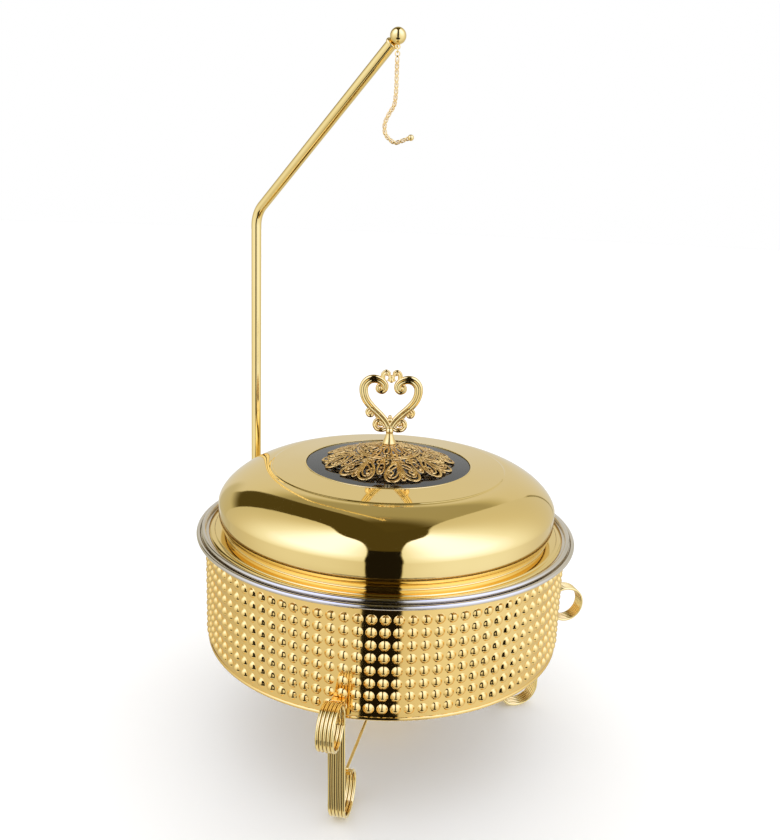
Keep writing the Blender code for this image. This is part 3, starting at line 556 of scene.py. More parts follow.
def pan_profile(bead_radius, bead, bead_height, flange, wall_radius, floor):
    """A pressed pan: dished floor, rounded corner, wall, flange and rolled bead."""
    top = flange + PAN_SHEET
    start = 180 - math.degrees(math.asin((top - bead_height) / bead))
    end = -180 + math.degrees(math.asin((bead_height - flange) / bead))
    corner_x = wall_radius - PAN_SHEET - PAN_CORNER
    corner_z = floor + PAN_SHEET + PAN_CORNER
    ease = 2.5 * MM
    inner = [(0.0, floor + PAN_SHEET), (corner_x * 0.55, floor + PAN_SHEET)]
    inner += arc(corner_x, corner_z, PAN_CORNER, -90, 0, 12)
    inner += rounded([(wall_radius - PAN_SHEET, top - 2 * ease, 0),
                      (wall_radius - PAN_SHEET, top, ease), (bead_radius - bead, top, 0)])[:-1]
    outer = rounded([(bead_radius - bead, flange, 0), (wall_radius, flange, ease),
                     (wall_radius, flange - 2 * ease, 0)])[1:]
    outer += arc(corner_x, corner_z, PAN_CORNER + PAN_SHEET, 0, -90, 12)
    outer += [(corner_x * 0.55, floor), (0.0, floor)]
    return inner + arc(bead_radius, bead_height, bead, start, end, 22) + outer


def make_pans():
    """The water pan and the food pan."""
    flange = drum_high.z + TOUCH
    water = spun("water_pan_shell", pan_profile(RIM_RADIUS - WATER_BEAD, WATER_BEAD, flange + TOUCH,
                                                flange, WATER_WALL, water_low.z), steps=240)
    finish(water, PAN_STEEL, "water_pan", "stainless_steel", "water_pan")
    food_flange = flange + PAN_SHEET + TOUCH
    food = spun("food_pan_shell", pan_profile(food_high.x - FOOD_BEAD, FOOD_BEAD,
                                              food_flange + FOOD_BEAD, food_flange, FOOD_WALL,
                                              food_low.z), steps=240)
    finish(food, PAN_STEEL, "food_pan", "stainless_steel", "food_pan")


# ---------------------------------------------------------------- lid
LID_EDGE = lid_high.x
FLANGE_WIDTH = 15.5 * MM
LID_MOUTH = LID_EDGE - FLANGE_WIDTH
LID_BULGE = 5.8 * MM
LID_TUCK_POWER = 6.0
PLATEAU_RADIUS = 116.5 * MM
PLATEAU_STEP = 1.1 * MM
SHOULDER_POWER = 1.28
WINDOW_RADIUS = glass_high.x
WINDOW_LEDGE = 6.5 * MM


def make_lid():
    """The lid's sheet: window ledge, plateau, shoulder, bulge, creased mouth and stepped flange."""
    base = lid_low.z + LID_SHEET
    top = lid_high.z
    bulge_r = LID_MOUTH + LID_BULGE
    bulge_z = base + 28.1 * MM
    mouth_z = base + 4.9 * MM
    plateau_z = top - 2.3 * MM
    shoulder_z = plateau_z - PLATEAU_STEP
    step_r = PLATEAU_RADIUS + 1.0 * MM
    lip = WINDOW_RADIUS + 0.4 * MM
    ledge = seal_low.z - TOUCH
    profile = rounded([(WINDOW_RADIUS - WINDOW_LEDGE, ledge, 0), (lip, ledge, 0.5 * MM),
                       (lip, top + 0.5 * MM, 0.5 * MM), (lip + 1.1 * MM, top + 0.5 * MM, 0.5 * MM),
                       (lip + 1.5 * MM, top - 0.1 * MM, 0.3 * MM),
                       (PLATEAU_RADIUS - 0.4 * MM, plateau_z, 0.8 * MM),
                       (step_r - 0.2 * MM, shoulder_z + 0.15 * MM, 0.8 * MM),
                       (step_r + 3 * MM, shoulder_z, 0)])[:-1]
    steps = 56
    for i in range(2, steps + 1):
        turn = math.pi / 2 * i / steps
        profile.append((step_r + (bulge_r - step_r) * math.sin(turn) ** SHOULDER_POWER,
                        bulge_z + (shoulder_z - bulge_z) * math.cos(turn) ** SHOULDER_POWER))
    for i in range(1, 33):
        t = i / 32
        profile.append((bulge_r - LID_BULGE * t ** LID_TUCK_POWER, bulge_z + (mouth_z - bulge_z) * t))
    profile += rounded([profile[-1] + (0,), (LID_MOUTH - 0.4 * MM, mouth_z - 1.2 * MM, 0.6 * MM),
                        (LID_MOUTH - 0.2 * MM, base + 1.0 * MM, 1.2 * MM),
                        (LID_EDGE - 6.4 * MM, base + 1.0 * MM, 0.6 * MM),
                        (LID_EDGE - 5.6 * MM, base, 0.6 * MM),
                        (LID_EDGE - 0.2 * MM, base, 0)])[1:]
    lid = sheet_spun("lid_shell", profile, LID_SHEET, steps=240)
    finish(lid, LID_GOLD, "lid", "gold_plate", "lid_dome")


def make_window():
    """The glass disc with ground edges, and the seal under it."""
    hole = 3.4 * MM
    glass = rounded([(hole, glass_low.z, 0), (hole, glass_high.z, 0), (WINDOW_RADIUS, glass_high.z, 0.5 * MM),
                     (WINDOW_RADIUS, glass_low.z, 0.5 * MM), (hole, glass_low.z, 0)])[:-1]
    finish(spun("window_pane", glass, closed=True), SMOKED_GLASS, "lid", "smoked_glass", "window_glass")
    inner = seal_high.x - WINDOW_LEDGE + 0.4 * MM
    middle = (seal_low.z + seal_high.z) / 2
    half = (seal_high.z - seal_low.z) / 2
    seal = arc(seal_high.x - half, middle, half, 90, -90, 6) + arc(inner + half, middle, half, 270, 90, 6)
    finish(spun("window_seal_ring", seal, closed=True, steps=128), BLACK_RUBBER, "lid", "silicone",
           "window_seal")


# ---------------------------------------------------------------- rosette
ROSETTE_RADIUS = rosette_high.y
ROSETTE_RISE = 19 * MM
PETALS = 8
PETAL_PHASE = 14.0
WIRE = 0.9 * MM


def rosette_height(x, y):
    """How far the rosette's underside stands above its edge."""
    reach = min(1.0, math.hypot(x, y) / ROSETTE_RADIUS)
    return ROSETTE_RISE * (1 - reach ** 1.3)


def teardrop(root, tip, width, azimuth, lean=0.0, count=48, fullness=0.45):
    """A closed loop from a root radius to a tip radius, full at its tip and leaning sideways."""
    loop = []
    for i in range(count):
        t = 2 * math.pi * i / count
        along = (1 - math.cos(t)) / 2
        radius = root + (tip - root) * along
        side = width * math.sin(t) * along ** fullness + lean * along ** 0.7
        loop.append(polar(azimuth + math.degrees(side / max(radius, 5 * MM)), radius))
    return loop


def polar(azimuth, radius):
    """A flat point at an azimuth from the front."""
    spot = place(azimuth, radius)
    return (spot.x, spot.y)


def curl(azimuth, radius, size, hand, turns=1.15, count=36):
    """A small spiral curl that starts on a circle and winds in."""
    centre = Vector(polar(azimuth, radius))
    points = []
    for i in range(count + 1):
        t = i / count
        angle = math.radians(-azimuth) + hand * 2 * math.pi * turns * t
        reach = size * (1 - 0.72 * t)
        points.append((centre.x + reach * math.sin(angle), centre.y + reach * math.cos(angle)))
    return points


def make_rosette():
    """Openwork rosette: double petals, inner tears, curls, rings and beads, raised to a dome."""
    band = oval_section(1.3 * MM, 0.8 * MM, 10)
    wire = oval_section(WIRE, 0.7 * MM, 8)
    fine = oval_section(0.6 * MM, 0.55 * MM, 8)
    shape = bmesh.new()
    beads = []
    ring_r = 31 * MM
    pitch = 360.0 / PETALS
    rim = ROSETTE_RADIUS - 1.3 * MM
    for k in range(PETALS):
        azimuth = PETAL_PHASE + pitch * k
        for hand in (-1, 1):
            lean = hand * 11.6 * MM
            sweep(shape, teardrop(ring_r + 5 * MM, rim, 9.6 * MM, azimuth, lean), band, closed=True)
            sweep(shape, teardrop(ring_r + 12 * MM, rim - 5.2 * MM, 5.6 * MM, azimuth + hand * 1.2,
                                  0.86 * lean, 32), wire, closed=True)
            sweep(shape, curl(azimuth + hand * 11.6, rim - 13 * MM, 4.4 * MM, hand, 1.4), wire)
            sweep(shape, curl(azimuth + hand * 0.40 * pitch, ring_r + 5.5 * MM, 4.8 * MM, hand), wire)
            sweep(shape, curl(azimuth + hand * 0.14 * pitch, ring_r + 6.5 * MM, 3.6 * MM, -hand), wire)
            beads.append((polar(azimuth + hand * 11.2, rim - 8.6 * MM), 1.5 * MM))
            beads.append((polar(azimuth + hand * 0.5 * pitch, ring_r + 15 * MM), 1.5 * MM))
            sweep(shape, curl(azimuth + hand * 0.25 * pitch, ring_r - 6.0 * MM, 4.4 * MM, -hand), fine)
        sweep(shape, teardrop(ring_r + 13 * MM, rim - 1.5 * MM, 3.0 * MM, azimuth, 0.0, 28), wire,
              closed=True)
        sweep(shape, teardrop(ring_r + 1 * MM, rim - 10 * MM, 4.0 * MM, azimuth + 0.5 * pitch, 0.0, 32),
              wire, closed=True)
        beads.append((polar(azimuth, rim - 6.5 * MM), 1.4 * MM))
        beads.append((polar(azimuth, ring_r + 4.5 * MM), 1.3 * MM))
        beads.append((polar(azimuth + 0.5 * pitch, rim - 14 * MM), 1.6 * MM))
        sweep(shape, teardrop(9 * MM, 22 * MM, 3.4 * MM, azimuth + 0.5 * pitch, 0.0, 28), wire, closed=True)
        sweep(shape, teardrop(13 * MM, ring_r - 1 * MM, 3.2 * MM, azimuth, 0.0, 28), wire, closed=True)
        beads.append((polar(azimuth, 24 * MM), 1.4 * MM))
        beads.append((polar(azimuth + 0.5 * pitch, 26 * MM), 1.4 * MM))
    for radius, section in ((ring_r, band), (ring_r - 2.4 * MM, fine), (10.5 * MM, wire), (6.5 * MM, band)):
        sweep(shape, [polar(a, radius) for a in range(0, 360, 4)], section, closed=True)
    for (x, y), size in beads:
        add_ball(shape, (x, y, 0.0), size, 10, 6)
    lift = rosette_low.z + 0.65 * MM
    for vertex in shape.verts:
        vertex.co.z += lift + rosette_height(vertex.co.x, vertex.co.y)
    finish(add_piece("rosette_openwork", shape, 60), FILIGREE_GOLD, "lid", "gold_plate", "filigree_rosette")


# ---------------------------------------------------------------- handle
HEART_FOOT = 12.9 * MM       # stem's length under the heart
STEM_TOP_RADIUS = 3.5 * MM


def ridged_section(across, depth, count=28):
    """A cast bar's section with a groove down the middle of its front and back."""
    points = []
    for i in range(count):
        turn = 2 * math.pi * i / count
        x = across * math.cos(turn)
        hollow = 1 - 0.42 * math.exp(-(x / (0.38 * across)) ** 2)
        points.append((x, depth * math.sin(turn) * hollow))
    return points


def tapered(route, thick, start, end, bulge_at=0.5):
    """Sizes along a route that swell from start to thick and fall to end."""
    sizes = []
    for i in range(len(route)):
        t = i / (len(route) - 1)
        if t < bulge_at:
            share = t / bulge_at
            low = start
        else:
            share = (1 - t) / (1 - bulge_at)
            low = end
        ease = share * share * (3 - 2 * share)
        sizes.append(low + (thick - low) * ease)
    return sizes


def make_handle():
    """The cast heart: two scrolled halves, side and lower curls, crown, flared stem and stud."""
    stem_base = handle_high.z - 75.3 * MM
    heart_base = stem_base + HEART_FOOT
    foot = Matrix.Translation((0.0, 0.0, heart_base))
    shape = bmesh.new()
    main = [(0.8, 3.0), (4.2, 9.6), (10.4, 16.6), (18.0, 23.6), (24.4, 31.6), (27.0, 39.6), (26.4, 46.4),
            (22.4, 51.2), (16.8, 52.8), (10.8, 51.2), (6.8, 47.6), (6.4, 43.2), (9.0, 40.6), (12.4, 42.0),
            (12.6, 45.0), (10.6, 46.2)]
    side = [(11.0, 16.5), (15.5, 21.5), (19.8, 22.3), (22.4, 19.4), (21.0, 16.2), (18.4, 16.2), (18.0, 18.4)]
    lower = [(3.0, 3.5), (7.4, 1.4), (12.6, 2.4), (15.0, 6.6), (13.2, 10.6), (9.6, 10.4), (8.6, 7.6),
             (10.8, 6.2)]
    spray = [(2.6, 3.5), (6.4, 7.6), (10.6, 12.0), (14.4, 16.6)]
    crown = [(8.4, 50.8), (8.6, 54.6), (8.0, 58.0), (5.6, 60.2), (3.2, 59.2), (3.6, 57.0)]
    leaf = [(2.4, 50.6), (1.0, 54.0), (2.6, 57.2)]
    strands = [(main, 4.4, 3.4, 0.80, 0.58, 0.42), (side, 2.6, 2.7, 1.0, 0.85, 0.3),
               (lower, 2.5, 2.7, 1.0, 0.85, 0.4), (spray, 2.4, 2.4, 1.0, 0.7, 0.4),
               (crown, 2.4, 2.4, 1.0, 0.85, 0.4), (leaf, 2.2, 2.4, 1.0, 0.7, 0.4)]
    balls = [(10.6, 43.8, 2.3), (18.8, 18.4, 2.0), (10.4, 7.4, 2.3), (4.6, 57.8, 1.7)]
    for hand in (-1, 1):
        for route, across, depth, start, end, bulge in strands:
            points = [(hand * x * MM, z * MM) for x, z in smooth_route(route, 8)]
            sweep(shape, points, ridged_section(across * MM, depth * MM),
                  sizes=tapered(points, 1.0, start, end, bulge), matrix=foot @ UPRIGHT)
        for x, z, size in balls:
            add_ball(shape, (hand * x * MM, 0.0, heart_base + z * MM), size * MM)
    for z, size in ((14.4, 2.2), (11.4, 2.8), (51.6, 2.4), (55.4, 2.0)):
        add_ball(shape, (0.0, 0.0, heart_base + z * MM), size * MM)
    stem = rounded([(0.0, HEART_FOOT + 4 * MM, 0), (3.0 * MM, HEART_FOOT + 3.4 * MM, 1.5 * MM),
                    (STEM_TOP_RADIUS + 0.6 * MM, HEART_FOOT + 0.6 * MM, 1.4 * MM),
                    (STEM_TOP_RADIUS - 0.1 * MM, HEART_FOOT - 2.5 * MM, 2.0 * MM),
                    (5.0 * MM, 5.6 * MM, 3.0 * MM), (6.6 * MM, 2.2 * MM, 1.0 * MM),
                    (7.0 * MM, 1.0 * MM, 0.5 * MM), (6.7 * MM, 0.0, 0.3 * MM),
                    (3.0 * MM, 0.0, 0), (3.0 * MM, handle_low.z - stem_base, 0.4 * MM),
                    (0.0, handle_low.z - stem_base, 0)])
    spin_profile(shape, stem, closed=False, steps=48, matrix=Matrix.Translation((0, 0, stem_base)))
    finish(add_piece("heart_handle", shape, 50), CAST_GOLD, "lid", "gold_plate", "lid_handle")


def make_fixings():
    """The washer and the hexagon nut under the window."""
    hole = 3.4 * MM
    washer = rounded([(hole, washer_low.z, 0), (hole, washer_high.z, 0),
                      (washer_high.x, washer_high.z, 0.4 * MM), (washer_high.x, washer_low.z, 0.4 * MM),
                      (hole, washer_low.z, 0)])[:-1]
    disc = spun("washer_disc", washer, closed=True, steps=48)
    finish(disc, BLACK_RUBBER, "lid", "silicone", "handle_washer")
    nut = bmesh.new()
    reach = nut_high.x
    spin_profile(nut, [(hole, nut_low.z), (hole, nut_high.z), (reach, nut_high.z), (reach, nut_low.z)],
                 closed=True, steps=6)
    corners = [edge for edge in nut.edges if all(v.co.xy.length > 0.9 * reach for v in edge.verts)]
    bmesh.ops.bevel(nut, geom=corners, offset=0.35 * MM, offset_type="OFFSET", segments=2, profile=0.5,
                    affect="EDGES", material=-1)
    finish(add_piece("hexagon_nut", nut), PLAIN_STEEL, "lid", "stainless_steel", "handle_nut")


# ---------------------------------------------------------------- legs
STRAP_WIRES = 5
WIRE_PITCH = 3.24 * MM
WIRE_RADIUS = 1.6 * MM
GROOVE = 0.14 * MM            # how much slimmer each wire is, so that the dark strip of painted shade between the wires shows
UPPER_SCROLL = 19.6 * MM
FOOT_SCROLL = 22.4 * MM
SADDLE_THICKNESS = 6.4 * MM
STRAP_RADIUS = DRUM_RADIUS + 3 * TOUCH + SADDLE_THICKNESS + WIRE_RADIUS
FOOT_RADIUS = STRAP_RADIUS - 7.7 * MM
UPPER_HEIGHT = drum_low.z + 7.8 * MM
FOOT_HEIGHT = box("leg_front")[0].z + FOOT_SCROLL + WIRE_RADIUS


def scroll(centre_x, centre_z, radius, start, end, end_share, steps):
    """A scroll that tightens over its last half, from its free end to where it is widest."""
    points = []
    for i in range(steps + 1):
        share = 1 - i / steps
        size = radius * (1 - (1 - end_share) * max(0.0, share - 0.45) / 0.55)
        turn = math.radians(start + (end - start) * i / steps)
        points.append((centre_x + size * math.cos(turn), centre_z + size * math.sin(turn)))
    return points


def leg_route():
    """A leg's middle line in (radius, height), from the upper scroll to the foot's end."""
    upper = scroll(STRAP_RADIUS + UPPER_SCROLL, UPPER_HEIGHT, UPPER_SCROLL, -158, 180, 0.85, 64)
    foot = scroll(FOOT_RADIUS - FOOT_SCROLL, FOOT_HEIGHT, FOOT_SCROLL, -260, 0, 0.72, 56)
    upright = []
    for i in range(1, 16):
        t = i / 16
        ease = t * t * (3 - 2 * t)
        upright.append((STRAP_RADIUS - 7.7 * MM * ease, UPPER_HEIGHT + (FOOT_HEIGHT - UPPER_HEIGHT) * t))
    return upper + upright + foot[::-1]


def make_legs():
    """Three legs of five wires with a dark strip of painted shade between them, each with an end plate,
    saddle and brace rod.
    """
    route = leg_route()
    ahead = Vector(route[-1]) - Vector(route[-2])
    end = Vector(route[-1])
    for side, azimuth in LEG_AZIMUTHS.items():
        shape = bmesh.new()
        for wire in range(STRAP_WIRES):
            offset = WIRE_PITCH * (wire - (STRAP_WIRES - 1) / 2)
            matrix = facing(azimuth) @ Matrix.Translation((0.0, offset, 0.0)) @ UPRIGHT
            sweep(shape, route, circle_section(WIRE_RADIUS - GROOVE, 14), matrix=matrix)
        tab = Matrix.Translation((end.x, 0.0, end.y)) @ Matrix.Rotation(-math.atan2(ahead.y, ahead.x), 4, "Y")
        # A dark strip down the middle of each leg, seen between the wires: painted shade in the gaps.
        gap_shade = bmesh.new()
        half = WIRE_PITCH * (STRAP_WIRES - 1) / 2
        sweep(gap_shade, route, oval_section(0.55 * MM, half), matrix=facing(azimuth) @ UPRIGHT)
        finish(add_piece(f"leg_painted_gap_shade_{side}", gap_shade), PAINTED_GAP_SHADE, "stand", "gold_plate")
        part = bmesh.new()
        bmesh.ops.create_cube(part, size=1.0, matrix=Matrix.Diagonal((5 * MM, 9 * MM, 3.6 * MM, 1)))
        bmesh.ops.bevel(part, geom=part.edges[:], offset=0.6 * MM, offset_type="OFFSET", segments=3,
                        profile=0.5, affect="EDGES", material=-1)
        bmesh.ops.transform(part, matrix=facing(azimuth) @ tab @ Matrix.Translation((-1.5 * MM, 2.3 * MM, 0)),
                            verts=part.verts)
        join_bmesh(shape, part)
        finish(add_piece(f"leg_wires_{side}", shape), ROD_GOLD, "stand", "gold_plate", f"leg_{side}")
        make_saddle(side, azimuth)
        make_brace(side, azimuth)


def make_saddle(side, azimuth):
    """The small block between a leg and the drum, with eased edges."""
    shape = bmesh.new()
    start = STRAP_RADIUS - WIRE_RADIUS - TOUCH - SADDLE_THICKNESS
    size = Matrix.Diagonal((SADDLE_THICKNESS, 12 * MM, 12 * MM, 1))
    bmesh.ops.create_cube(shape, size=1.0, matrix=size)
    bmesh.ops.bevel(shape, geom=shape.edges[:], offset=0.4 * MM, offset_type="OFFSET", segments=3,
                    profile=0.5, affect="EDGES", material=-1)
    spot = place(azimuth, start + SADDLE_THICKNESS / 2, UPPER_HEIGHT + 6 * MM)
    bmesh.ops.transform(shape, matrix=Matrix.Translation(spot) @ facing(azimuth), verts=shape.verts)
    finish(add_piece(f"saddle_block_{side}", shape), BAND_GOLD, "stand", "gold_plate", f"leg_saddle_{side}")


def make_brace(side, azimuth):
    """A thin rod from a foot to the middle, with rounded ends."""
    low, high = box(f"brace_rod_{side}")
    height = (low.z + high.z) / 2
    radius = (high.z - low.z) / 2
    outer = Vector(route_end()).x
    shift = place(azimuth + 90, 2.3 * MM)
    length = outer - 10 * MM
    profile = arc(0.0, radius, radius, -90, 0, 6) + arc(0.0, length - radius, radius, 0, 90, 6)
    lay = Matrix.Translation(place(azimuth, 10 * MM, height) + shift) @ facing(azimuth) \
        @ Matrix.Rotation(math.pi / 2, 4, "Y")
    finish(spun(f"brace_{side}", profile, steps=20, matrix=lay), ROD_GOLD, "stand", "gold_plate",
           f"brace_rod_{side}")


def route_end():
    """The free end of a leg's foot scroll in (radius, height)."""
    return leg_route()[-1]


# ---------------------------------------------------------------- burner
def make_burner():
    """The plate, fuel cup, gel, swinging cover and its pin."""
    radius = plate_high.x
    plate = rounded([(0.0, plate_high.z, 0), (radius - 4 * MM, plate_high.z, 0),
                     (radius, plate_high.z, 0.6 * MM), (radius, plate_low.z, 0.6 * MM),
                     (0.0, plate_low.z, 0)])
    finish(spun("burner_disc", plate, steps=96), BAND_GOLD, "stand", "gold_plate", "burner_plate")
    cup_r = -cup_low.x
    inner = cup_r - 0.8 * MM
    base, top = cup_low.z, cup_high.z
    cup = rounded([(0.0, base + 0.8 * MM, 0), (inner, base + 0.8 * MM, 1.2 * MM), (inner, top, 0.3 * MM),
                   (cup_r, top, 0.3 * MM), (cup_r, top - 5 * MM, 0.3 * MM),
                   (cup_r - 0.5 * MM, top - 5.6 * MM, 0.3 * MM), (cup_r - 0.5 * MM, top - 6.4 * MM, 0.3 * MM),
                   (cup_r, top - 7 * MM, 0.3 * MM), (cup_r, base, 1.6 * MM), (0.0, base, 0)])
    shape = bmesh.new()
    spin_profile(shape, cup, closed=False, steps=96)
    ear_r = 4.5 * MM
    pivot_x = cup_high.x - ear_r
    bore = 1.9 * MM
    ear = rounded([(bore, top - 8 * MM, 0), (bore, top, 0), (ear_r, top, 0.5 * MM),
                   (ear_r, top - 8 * MM, 0.5 * MM), (bore, top - 8 * MM, 0)])[:-1]
    spin_profile(shape, ear, closed=True, steps=32, matrix=Matrix.Translation((pivot_x, 0, 0)))
    finish(add_piece("fuel_cup", shape), PLAIN_STEEL, "burner", "stainless_steel", "burner_cup")
    gel_r = -fuel_low.x
    gel = [(0.0, fuel_low.z), (gel_r, fuel_low.z), (gel_r, fuel_high.z)]
    dip = 1.2 * MM
    gel += [(gel_r * (1 - t / 8), fuel_high.z - dip * math.sin(math.pi / 2 * t / 8)) for t in range(1, 8)]
    gel.append((0.0, fuel_high.z - dip))
    finish(spun("gel_fill", gel, steps=64), FUEL_GEL, "burner", "fuel_gel", "fuel_gel")
    cover_base = cover_low.z
    cover_top = cover_base + 1.5 * MM
    cover = rounded([(0.0, cover_top + 0.8 * MM, 0), (0.45 * cup_r, cover_top + 0.8 * MM, 0.8 * MM),
                     (0.52 * cup_r, cover_top, 0.8 * MM), (cup_r, cover_top, 0.5 * MM),
                     (cup_r, cover_base, 0.5 * MM), (0.0, cover_base, 0)])
    shape = bmesh.new()
    spin_profile(shape, cover, closed=False, steps=96)
    lug = rounded([(bore, cover_base, 0), (bore, cover_top, 0), (ear_r, cover_top, 0.3 * MM),
                   (ear_r, cover_base, 0.3 * MM), (bore, cover_base, 0)])[:-1]
    spin_profile(shape, lug, closed=True, steps=32, matrix=Matrix.Translation((pivot_x, 0, 0)))
    knob = rounded([(0.0, cover_high.z, 0), (2.6 * MM, cover_high.z, 1.2 * MM),
                    (3.0 * MM, cover_high.z - 2 * MM, 1 * MM),
                    (1.6 * MM, cover_high.z - 4 * MM, 1 * MM), (1.8 * MM, cover_base + 0.5 * MM, 0),
                    (0.0, cover_base + 0.5 * MM, 0)])
    spin_profile(shape, knob, closed=False, steps=32, matrix=Matrix.Translation((-0.6 * cup_r, 0, 0)))
    finish(add_piece("cover_disc", shape), PLAIN_STEEL, "burner_cover", "stainless_steel", "burner_cover")
    head_r = (pin_high.x - pin_low.x) / 2
    shank = 1.5 * MM
    pin = rounded([(0.0, pin_high.z, 0), (head_r, pin_high.z, 1.0 * MM),
                   (head_r, pin_high.z - 1.5 * MM, 0.2 * MM),
                   (shank, pin_high.z - 1.5 * MM, 0), (shank, pin_low.z, 0.3 * MM), (0.0, pin_low.z, 0)])
    finish(spun("pivot_pin", pin, steps=32, matrix=Matrix.Translation((pivot_x, 0, 0))), PLAIN_STEEL,
           "burner", "stainless_steel", "cover_pin")


# ---------------------------------------------------------------- pole and socket
EYE_RADIUS = 2.0 * MM         # the eyes under the ball and on the hook
POLE_RADIUS = 5.4 * MM
POLE_DISTANCE = Vector(((socket_low.x + socket_high.x) / 2, (socket_low.y + socket_high.y) / 2)).length
BEND_HEIGHT = 526.3 * MM
BEND_RADIUS = 28 * MM
BALL_RADIUS = (ball_high.x - ball_low.x) / 2
BALL_CENTRE = Vector(((ball_low.x + ball_high.x) / 2, (ball_low.y + ball_high.y) / 2,
                      ball_high.z - BALL_RADIUS))
BALL_REACH = BALL_CENTRE.xy.length


def arm_slope():
    """The arm's angle above the horizontal."""
    return math.atan2(BALL_CENTRE.z - BEND_HEIGHT, POLE_DISTANCE - BALL_REACH)


def make_pole():
    """The bent pole, the collar at the arm's end and the ball with its eye."""
    slope = arm_slope()
    turn = math.pi / 2 - slope
    tangent = BEND_RADIUS * math.tan(turn / 2)
    gap = BALL_RADIUS + 2 * TOUCH + 2.2 * MM
    along = Vector((-math.cos(slope), math.sin(slope)))
    end = Vector((BALL_REACH, BALL_CENTRE.z)) - along * gap
    bend = arc(POLE_DISTANCE - BEND_RADIUS, BEND_HEIGHT - tangent, BEND_RADIUS, 0, math.degrees(turn), 24)
    route = [(POLE_DISTANCE, pole_low.z)] + bend + [tuple(end)]
    shape = bmesh.new()
    sweep(shape, route, circle_section(POLE_RADIUS, 40), matrix=facing(POLE_AZIMUTH) @ UPRIGHT)
    finish(add_piece("bent_pole", shape), ROD_GOLD, "pole", "gold_plate", "lid_pole")
    where = Matrix.Translation(BALL_CENTRE) @ facing(POLE_AZIMUTH) @ Matrix.Rotation(-turn, 4, "Y")
    collar = rounded([(0.0, -BALL_RADIUS - TOUCH, 0), (3.4 * MM, -BALL_RADIUS + 0.4 * MM, 0.3 * MM),
                      (5.7 * MM, -BALL_RADIUS - 0.1 * MM, 0.5 * MM),
                      (6.3 * MM, -BALL_RADIUS - 0.9 * MM, 0.5 * MM),
                      (6.3 * MM, -gap + TOUCH, 0.4 * MM), (0.0, -gap + TOUCH, 0)])
    finish(spun("arm_collar", collar, steps=48, matrix=where), CAST_GOLD, "pole", "gold_plate", "pole_collar")
    shape = bmesh.new()
    add_ball(shape, BALL_CENTRE, BALL_RADIUS, 48, 32)
    eye = Vector((BALL_CENTRE.x, BALL_CENTRE.y, ball_low.z + 2.3 * MM))
    add_link(shape, eye, 0.0, EYE_RADIUS, EYE_RADIUS, 0.6 * MM)
    finish(add_piece("arm_ball", shape), ROD_GOLD, "pole", "gold_plate", "pole_ball")


def make_socket():
    """The socket tube, the bracket with its foot on the drum and the knurled thumb screw."""
    axis = place(POLE_AZIMUTH, POLE_DISTANCE)
    outer = (socket_high.x - socket_low.x) / 2
    inner = POLE_RADIUS + 0.4 * MM
    base, top = socket_low.z, socket_high.z
    tube = rounded([(0.0, base + 2.5 * MM, 0), (inner, base + 2.5 * MM, 0.3 * MM), (inner, top, 0.5 * MM),
                    (outer, top, 0.6 * MM), (outer, base, 1.2 * MM), (0.0, base, 0)])
    finish(spun("socket_tube", tube, steps=64, matrix=Matrix.Translation(axis)), BAND_GOLD, "stand",
           "gold_plate", "pole_socket")
    low, high = box("socket_bracket")
    start = DRUM_RADIUS + 2 * TOUCH
    depth = POLE_DISTANCE - outer - TOUCH - start
    shape = bmesh.new()
    bmesh.ops.create_cube(shape, size=1.0, matrix=Matrix.Diagonal((depth, 20 * MM, high.z - low.z, 1)))
    bmesh.ops.bevel(shape, geom=shape.edges[:], offset=1.2 * MM, offset_type="OFFSET", segments=4,
                    profile=0.5, affect="EDGES", material=-1)
    spot = place(POLE_AZIMUTH, start + depth / 2, (low.z + high.z) / 2)
    bmesh.ops.transform(shape, matrix=Matrix.Translation(spot) @ facing(POLE_AZIMUTH), verts=shape.verts)
    finish(add_piece("bracket_block", shape), BAND_GOLD, "stand", "gold_plate", "socket_bracket")
    make_thumb_screw(axis, outer)


def make_thumb_screw(axis, socket_radius):
    """A knurled screw that reaches through the socket to the pole."""
    height = socket_high.z - 0.3 * (socket_high.z - socket_low.z)
    knob_start = socket_radius + 2 * MM
    knob_end = knob_start + 8 * MM
    knob_radius = 6.5 * MM
    knob = rounded([(0.0, knob_end - 0.6 * MM, 0), (4.2 * MM, knob_end - 0.6 * MM, 0.5 * MM),
                    (4.8 * MM, knob_end, 0.6 * MM), (knob_radius - 0.3 * MM, knob_end, 0.8 * MM),
                    (knob_radius - 0.3 * MM, knob_start, 0.8 * MM),
                    (2.0 * MM, knob_start, 0), (2.0 * MM, POLE_RADIUS + TOUCH, 0.3 * MM),
                    (0.0, POLE_RADIUS + TOUCH, 0)])
    shape = bmesh.new()
    spin_profile(shape, knob, closed=False, steps=72)
    for vertex in shape.verts:
        radius = vertex.co.xy.length
        if radius > 0.9 * knob_radius:
            turn = math.atan2(vertex.co.y, vertex.co.x)
            vertex.co.xy *= 1 + 0.025 * math.copysign(1.0, math.sin(turn * 24 + 0.01))
    outwards = Matrix.Translation(axis + Vector((0, 0, height))) @ facing(POLE_AZIMUTH) \
        @ Matrix.Rotation(math.pi / 2, 4, "Y")
    bmesh.ops.transform(shape, matrix=outwards, verts=shape.verts)
    finish(add_piece("knurled_screw", shape), ROD_GOLD, "thumb_screw", "gold_plate", "thumb_screw")


